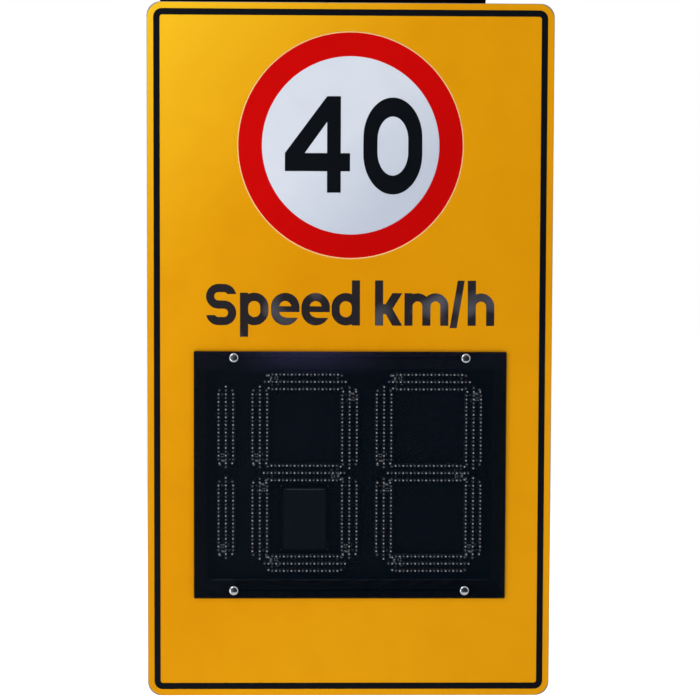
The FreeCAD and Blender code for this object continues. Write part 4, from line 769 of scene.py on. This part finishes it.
def add_leds():
    """Round-nosed LEDs, each with the rim at its foot; the white ones, with the stronger painted glint, in
    the odd places.
    """
    dome = LED_LENGTH - LED_RADIUS
    profile = [(2.7, 0), (2.75, 0.7), (LED_RADIUS, 0.95), (LED_RADIUS, dome)]
    profile += [(LED_RADIUS * math.cos(turn), dome + LED_RADIUS * math.sin(turn))
                for turn in [math.radians(19 * step) for step in range(1, 5)]]
    for name, remainder in (("white_leds", 1), ("red_leds", 0)):
        made = Shape()
        for made.local in segment_frames():
            for place, across, height in led_places():
                if place % 2 == remainder:
                    made.turned((across, 0, height), FORWARD, profile, sides=12)
        made.piece(f"{name}_lenses", "led_clear" if remainder else "led_red", "sign", name)


RESISTOR_ENDS = ((-47.6, 4, 1.9, 2.6), (-47.6, 8, 1.9, 2.6), (-54.9, 11.9, 1.6, 2.4),
                 (-51.2, 11.9, 1.6, 2.4), (-48.3, -4.6, 0.9, 1.4), (-45.9, -4.6, 0.9, 1.4))


def add_segment_parts():
    """Each segment board's feed: solder joints, a small driver chip, resistors and a plated test pad."""
    solder, chips = Shape(), Shape()
    for local in segment_frames():
        solder.local = chips.local = local
        solder.dome((-65.2, 0, 10.8), FORWARD, 2.3, 0.9, 0.15, 20)
        for z in (1.2, 3.9, 6.6):
            solder.dome((-59.4, 0, z), FORWARD, 1.35, 0.9, 0.15, 16)
        chips.block((-54.6, -0.8, 6.2), (3.9, 1.5, 5), 0.15)
        for z in (4.2, 5.5, 6.9, 8.2):
            for x in (-57.2, -52):
                solder.block((x, -0.25, z), (1.9, 0.4, 0.8), 0.1)
        for x, z, length, width in RESISTOR_ENDS:
            solder.block((x, -0.4, z), (length, 0.8, width), 0.2)
        chips.block((-47.6, -0.45, 6), (1.9, 0.85, 1.8), 0.1)
        chips.block((-53.1, -0.4, 11.9), (2.6, 0.7, 1.7), 0.1)
        chips.block((-47.1, -0.35, -4.6), (1.6, 0.6, 1.2), 0.1)
    solder.piece("segment_solder", "tray_metal", "sign", finish="solder")
    chips.piece("segment_chips", "chip_black", "sign")


PLATE_BACK = 28.2
CHARGER, CONTROL = (132, -117), (132, -317)
BATTERY, BATTERY_SIZE, BATTERY_DEEP = (-143, -124), (213, 132), 34


def add_power_trim():
    """Battery ribs, terminal boots and strap buckle; the charge controller's terminals, lamps and ears."""
    ribs, boots, buckle = Shape(), Shape(), Shape()
    rear = PLATE_BACK + BATTERY_DEEP
    for side in (-1, 1):
        for step in range(4):
            ribs.block((BATTERY[0] + side * (30 + 20 * step), rear, BATTERY[1]), (5, 2.4, 108), 1)
    ribs.piece("battery_ribs", "battery_case", "sign")
    floor = BATTERY[1] - BATTERY_SIZE[1] / 2
    for inset in (22, 46):
        across = BATTERY[0] + BATTERY_SIZE[0] / 2 - inset
        boots.block((across, PLATE_BACK + 17, floor - 4), (13, 13, 10), 2.2)
        boots.turned((across, PLATE_BACK + 17, floor - 8.5), DOWN, [(4.6, 0), (4.2, 3.5), (3.4, 4)])
    boots.piece("terminal_boots", "seal_rubber", "sign")
    here = (BATTERY[0], rear + 4.3, BATTERY[1] - 20)
    buckle.block(here, (32, 4.4, 26), 0.8)
    buckle.block((here[0], here[1] + 3.2, here[2] + 4), (22, 3, 12), 0.9)
    buckle.turned((here[0] - 14, here[1] + 2.6, here[2] - 8), (1, 0, 0),
                  [(1.8, 0), (2, 0.4), (2, 27.6), (1.8, 28)])
    buckle.piece("strap_buckle", "stainless", "sign")

    screws, lamps, slots = Shape(), Shape(), Shape()
    strip = CHARGER[1] - 39 - 4.5
    for step in range(6):
        across = CHARGER[0] - 40 + 16 * step
        screws.turned((across, PLATE_BACK + 16.8, strip), BACK, [(3.2, 0), (3.2, 1.1), (2.8, 1.5)])
        slots.block((across, PLATE_BACK + 18.1, strip), (5, 0.5, 0.9), 0.1)
        slots.block((across + 8, PLATE_BACK + 17.4, strip), (1.4, 2.4, 8), 0.3)
    for side in (-1, 1):
        screws.block((CHARGER[0] + side * 62, PLATE_BACK + 1.3, CHARGER[1]), (14, 2.2, 24), 0.8)
        screws.head((CHARGER[0] + side * 63.5, PLATE_BACK + 2.2, CHARGER[1]), BACK, 4, 0, 3)
    for step in range(3):
        lamps.dome((CHARGER[0] - 12 + 12 * step, PLATE_BACK + 24, CHARGER[1] - 31), BACK, 2, 1.6, 0.4, 20)
    screws.piece("controller_screws", "stainless", "sign")
    slots.piece("controller_slots", "chip_black", "sign")
    # the lamps take the LED lens finish, with its faint painted glow
    lamps.piece("controller_lamps", "led_clear", "sign")


RELAY, RELAY_REACH, SMALLS_END = 40, 15, 62


def add_control_parts():
    """Pins, legs, can tops, terminal screws and small parts on the control board."""
    metal_parts, small = Shape(), Shape()
    rear = PLATE_BACK + 9.6

    def spot(across, depth, height):
        return (CONTROL[0] + across, rear + depth, CONTROL[1] + height)

    for (x, z, width, tall), pitch in (((-44, 22, 26, 26), 1.6), ((4, 24, 18, 14), 2)):
        for step in range(int(tall / pitch) - 1):
            height = z - tall / 2 + pitch * (step + 1)
            for side in (-1, 1):
                metal_parts.block(spot(x + side * (width / 2 + 0.9), 0.4, height), (2.2, 0.5, 0.7), 0.1)
        if tall > 20:
            for step in range(int(width / pitch) - 1):
                across = x - width / 2 + pitch * (step + 1)
                for side in (-1, 1):
                    metal_parts.block(spot(across, 0.4, z + side * (tall / 2 + 0.9)), (0.7, 0.5, 2.2), 0.1)
    for x in (-40, -24, -8):
        metal_parts.turned(spot(x, 12.9, -12), BACK, [(5.2, 0), (5.2, 0.25), (4.9, 0.4), (0.6, 0.4)])
    for x, count in ((-48, 6), (8, 4), (52, 4)):
        for step in range(count):
            across = x + (step - (count - 1) / 2) * 7
            metal_parts.turned(spot(across, 10.9, -41), BACK, [(2.3, 0), (2.3, 0.7), (2, 1)])
            small.block(spot(across, 12, -41), (3.8, 0.4, 0.7), 0.1)
    for row in range(3):
        for step in range(9):
            if (row * 5 + step * 3) % 4:
                x, z = -12 + step * 7, 2 + row * 4.6
                if abs(x - RELAY) < RELAY_REACH or x > SMALLS_END:
                    continue
                small.block(spot(x, 0.5, z), (2, 1, 1.3), 0.15)
                for side in (-1, 1):
                    metal_parts.block(spot(x + side * 1.3, 0.45, z), (0.8, 1, 1.4), 0.15)
    metal_parts.piece("control_pins", "tray_metal", "sign")
    small.piece("control_smalls", "chip_black", "sign")


PANEL_ACROSS, LID_UNDER = -48, 24.8


def add_junction_trim():
    """The junction box's ribbed lid, its corner screws and two blanked cable entries."""
    made, screws = Shape(PANEL_FRAME), Shape(PANEL_FRAME)
    for step in range(-3, 4):
        made.block((PANEL_ACROSS + 11 * step, 592.5, LID_UNDER), (3.4, 46, 1.8), 0.7)
    for side in (-1, 1):
        for along in (563, 622):
            screws.turned((PANEL_ACROSS + 47 * side, along, LID_UNDER + 0.2), DOWN,
                          [(3, 0), (3, 0.8), (2.5, 1.3), (1.1, 1.3), (0.9, 0.7)], sides=20)
        entry = (PANEL_ACROSS + 24 * side, 558, 35)
        made.nut(entry, FORWARD, 7, 3, -1.5, 4)
        made.turned(entry, FORWARD, [(3, 3.8), (6, 3.8), (6, 9), (4.6, 12), (3, 12.4)], fluted(12, 0.08),
                    closed=True, sides=48)
        made.turned(entry, FORWARD, [(3.1, 2), (3.1, 11.2), (2.4, 11.8)])
    made.piece("junction_trim", "nylon_black", "solar_panel")
    screws.piece("junction_screws", "stainless", "solar_panel")


add_leds()
add_power_trim()
add_control_parts()
add_junction_trim()
add_window_screws()
add_board_bolts()
add_cross_bolts()
add_locks()
add_glands()
add_segment_parts()


# ---------------------------------------------------------------- studio and camera

LENS, SENSOR = 89.31, 36.0
CAMERA_AT = at(-58.6, -3000, 153.9)
CAMERA_TILT, CAMERA_ROLL, CAMERA_TURN = 0.04989, 0.00358, 0.01957
FLOOR_DROP, FLOOR_GLOW = 0.5, 0.78
ROOM_LIGHT, ROOM_GLOSS, LOW_GLOSS = 0.28, 0.8, 0.8
DARK_WAY, DARK_EDGE, DARK_LEVEL = (-0.2, 0.97, 0.13), (-0.98, -0.6), 0.03
LOW_EDGE, ROOM_TONE = (-0.28, -0.34), (0.93, 0.96, 1.0, 1)
WARM, COOL, WHITE = (1.0, 0.98, 0.95), (0.94, 0.97, 1.0), (1, 1, 1)

# name, place from the middle of the sign in metres, size, power, tone
LAMPS = (("key", (-1.6, -2.0, 1.5), 1.6, 28.5, WARM),
         ("corner", (-0.95, -0.9, 1.0), 0.5, 0.5, WARM),
         ("fill", (3.0, -2.4, 0.6), 2.0, 4, COOL),
         ("low_fill", (-1.2, -1.7, -1.0), 0.9, 5.5, WHITE),
         ("back", (1.6, 3.4, 2.2), 2.2, 110, WHITE),
         ("back_fill", (-3.2, 2.2, 0.4), 2.0, 36, WHITE))


def make_camera():
    data = bpy.data.cameras.new("camera")
    data.lens, data.sensor_width = LENS, SENSOR
    data.clip_start, data.clip_end = 0.05, 200
    camera = bpy.data.objects.new("camera", data)
    bpy.context.scene.collection.objects.link(camera)
    right, forward, up = (Matrix.Rotation(CAMERA_ROLL, 3, "Y") @ Matrix.Rotation(CAMERA_TILT, 3, "X")
                          @ Matrix.Rotation(CAMERA_TURN, 3, "Z"))
    turn = Matrix((right, up, -forward)).transposed().to_4x4()
    camera.matrix_world = Matrix.Translation(CAMERA_AT) @ turn
    bpy.context.scene.camera = camera


def make_lamp(name, offset, size, power, tone):
    middle = (cad_low + cad_high) / 2
    data = bpy.data.lights.new(name, "AREA")
    data.shape, data.size, data.energy, data.color = "DISK", size, power, tone
    lamp = bpy.data.objects.new(name, data)
    bpy.context.scene.collection.objects.link(lamp)
    lamp.location = middle + Vector(offset)
    lamp.rotation_euler = (middle - lamp.location).to_track_quat("-Z", "Y").to_euler()


def make_floor():
    bm = bmesh.new()
    bmesh.ops.create_circle(bm, cap_ends=True, segments=96, radius=30)
    mesh = bpy.data.meshes.new("floor")
    bm.to_mesh(mesh)
    bm.free()
    floor = bpy.data.objects.new("floor", mesh)
    bpy.context.scene.collection.objects.link(floor)
    floor.location = (0, 0, cad_low.z - FLOOR_DROP)
    floor.visible_glossy = False
    paint = Finish("floor_paint", (248, 248, 248), 0.9, Emission_Color=(1, 1, 1, 1),
                   Emission_Strength=FLOOR_GLOW, Specular_IOR_Level=0.0)
    paint.tint((242, 242, 242), paint.between(paint.noise(2, 2), 0.4, 0.7))
    mesh.materials.append(paint.material)


def make_world():
    """Plain pale all round to the eye; for reflections and light, a room that is dark towards the face.

    Reflections from lower down in front are bright, as from a pale floor.
    """
    world = bpy.data.worlds.new("studio")
    bpy.context.scene.world = world
    world.use_nodes = True
    sky = Tree(world.node_tree)
    sky.tree.nodes.clear()
    way = sky.add("ShaderNodeTexCoord").outputs["Generated"]
    rise = sky.add("ShaderNodeSeparateXYZ", {0: way}).outputs["Z"]
    rays = sky.add("ShaderNodeLightPath").outputs
    front = sky.between(sky.dot(way, DARK_WAY), *DARK_EDGE, DARK_LEVEL)
    low = sky.math("MULTIPLY", sky.between(rise, *LOW_EDGE, 0, LOW_GLOSS), rays["Is Glossy Ray"])
    level = sky.between(rays["Is Glossy Ray"], 0, 1, ROOM_LIGHT, ROOM_GLOSS)
    strength = sky.math("MULTIPLY", sky.math("MAXIMUM", front, low), level)
    seen = sky.add("ShaderNodeBackground", {"Color": (1, 1, 1, 1)}).outputs[0]
    room = sky.add("ShaderNodeBackground", {"Color": ROOM_TONE, "Strength": strength}).outputs[0]
    mix = sky.add("ShaderNodeMixShader", {0: rays["Is Camera Ray"], 1: room, 2: seen}).outputs[0]
    sky.add("ShaderNodeOutputWorld", {0: mix})


make_camera()
make_floor()
make_world()
for lamp in LAMPS:
    make_lamp(*lamp)
bpy.context.scene.view_settings.view_transform = "Standard"
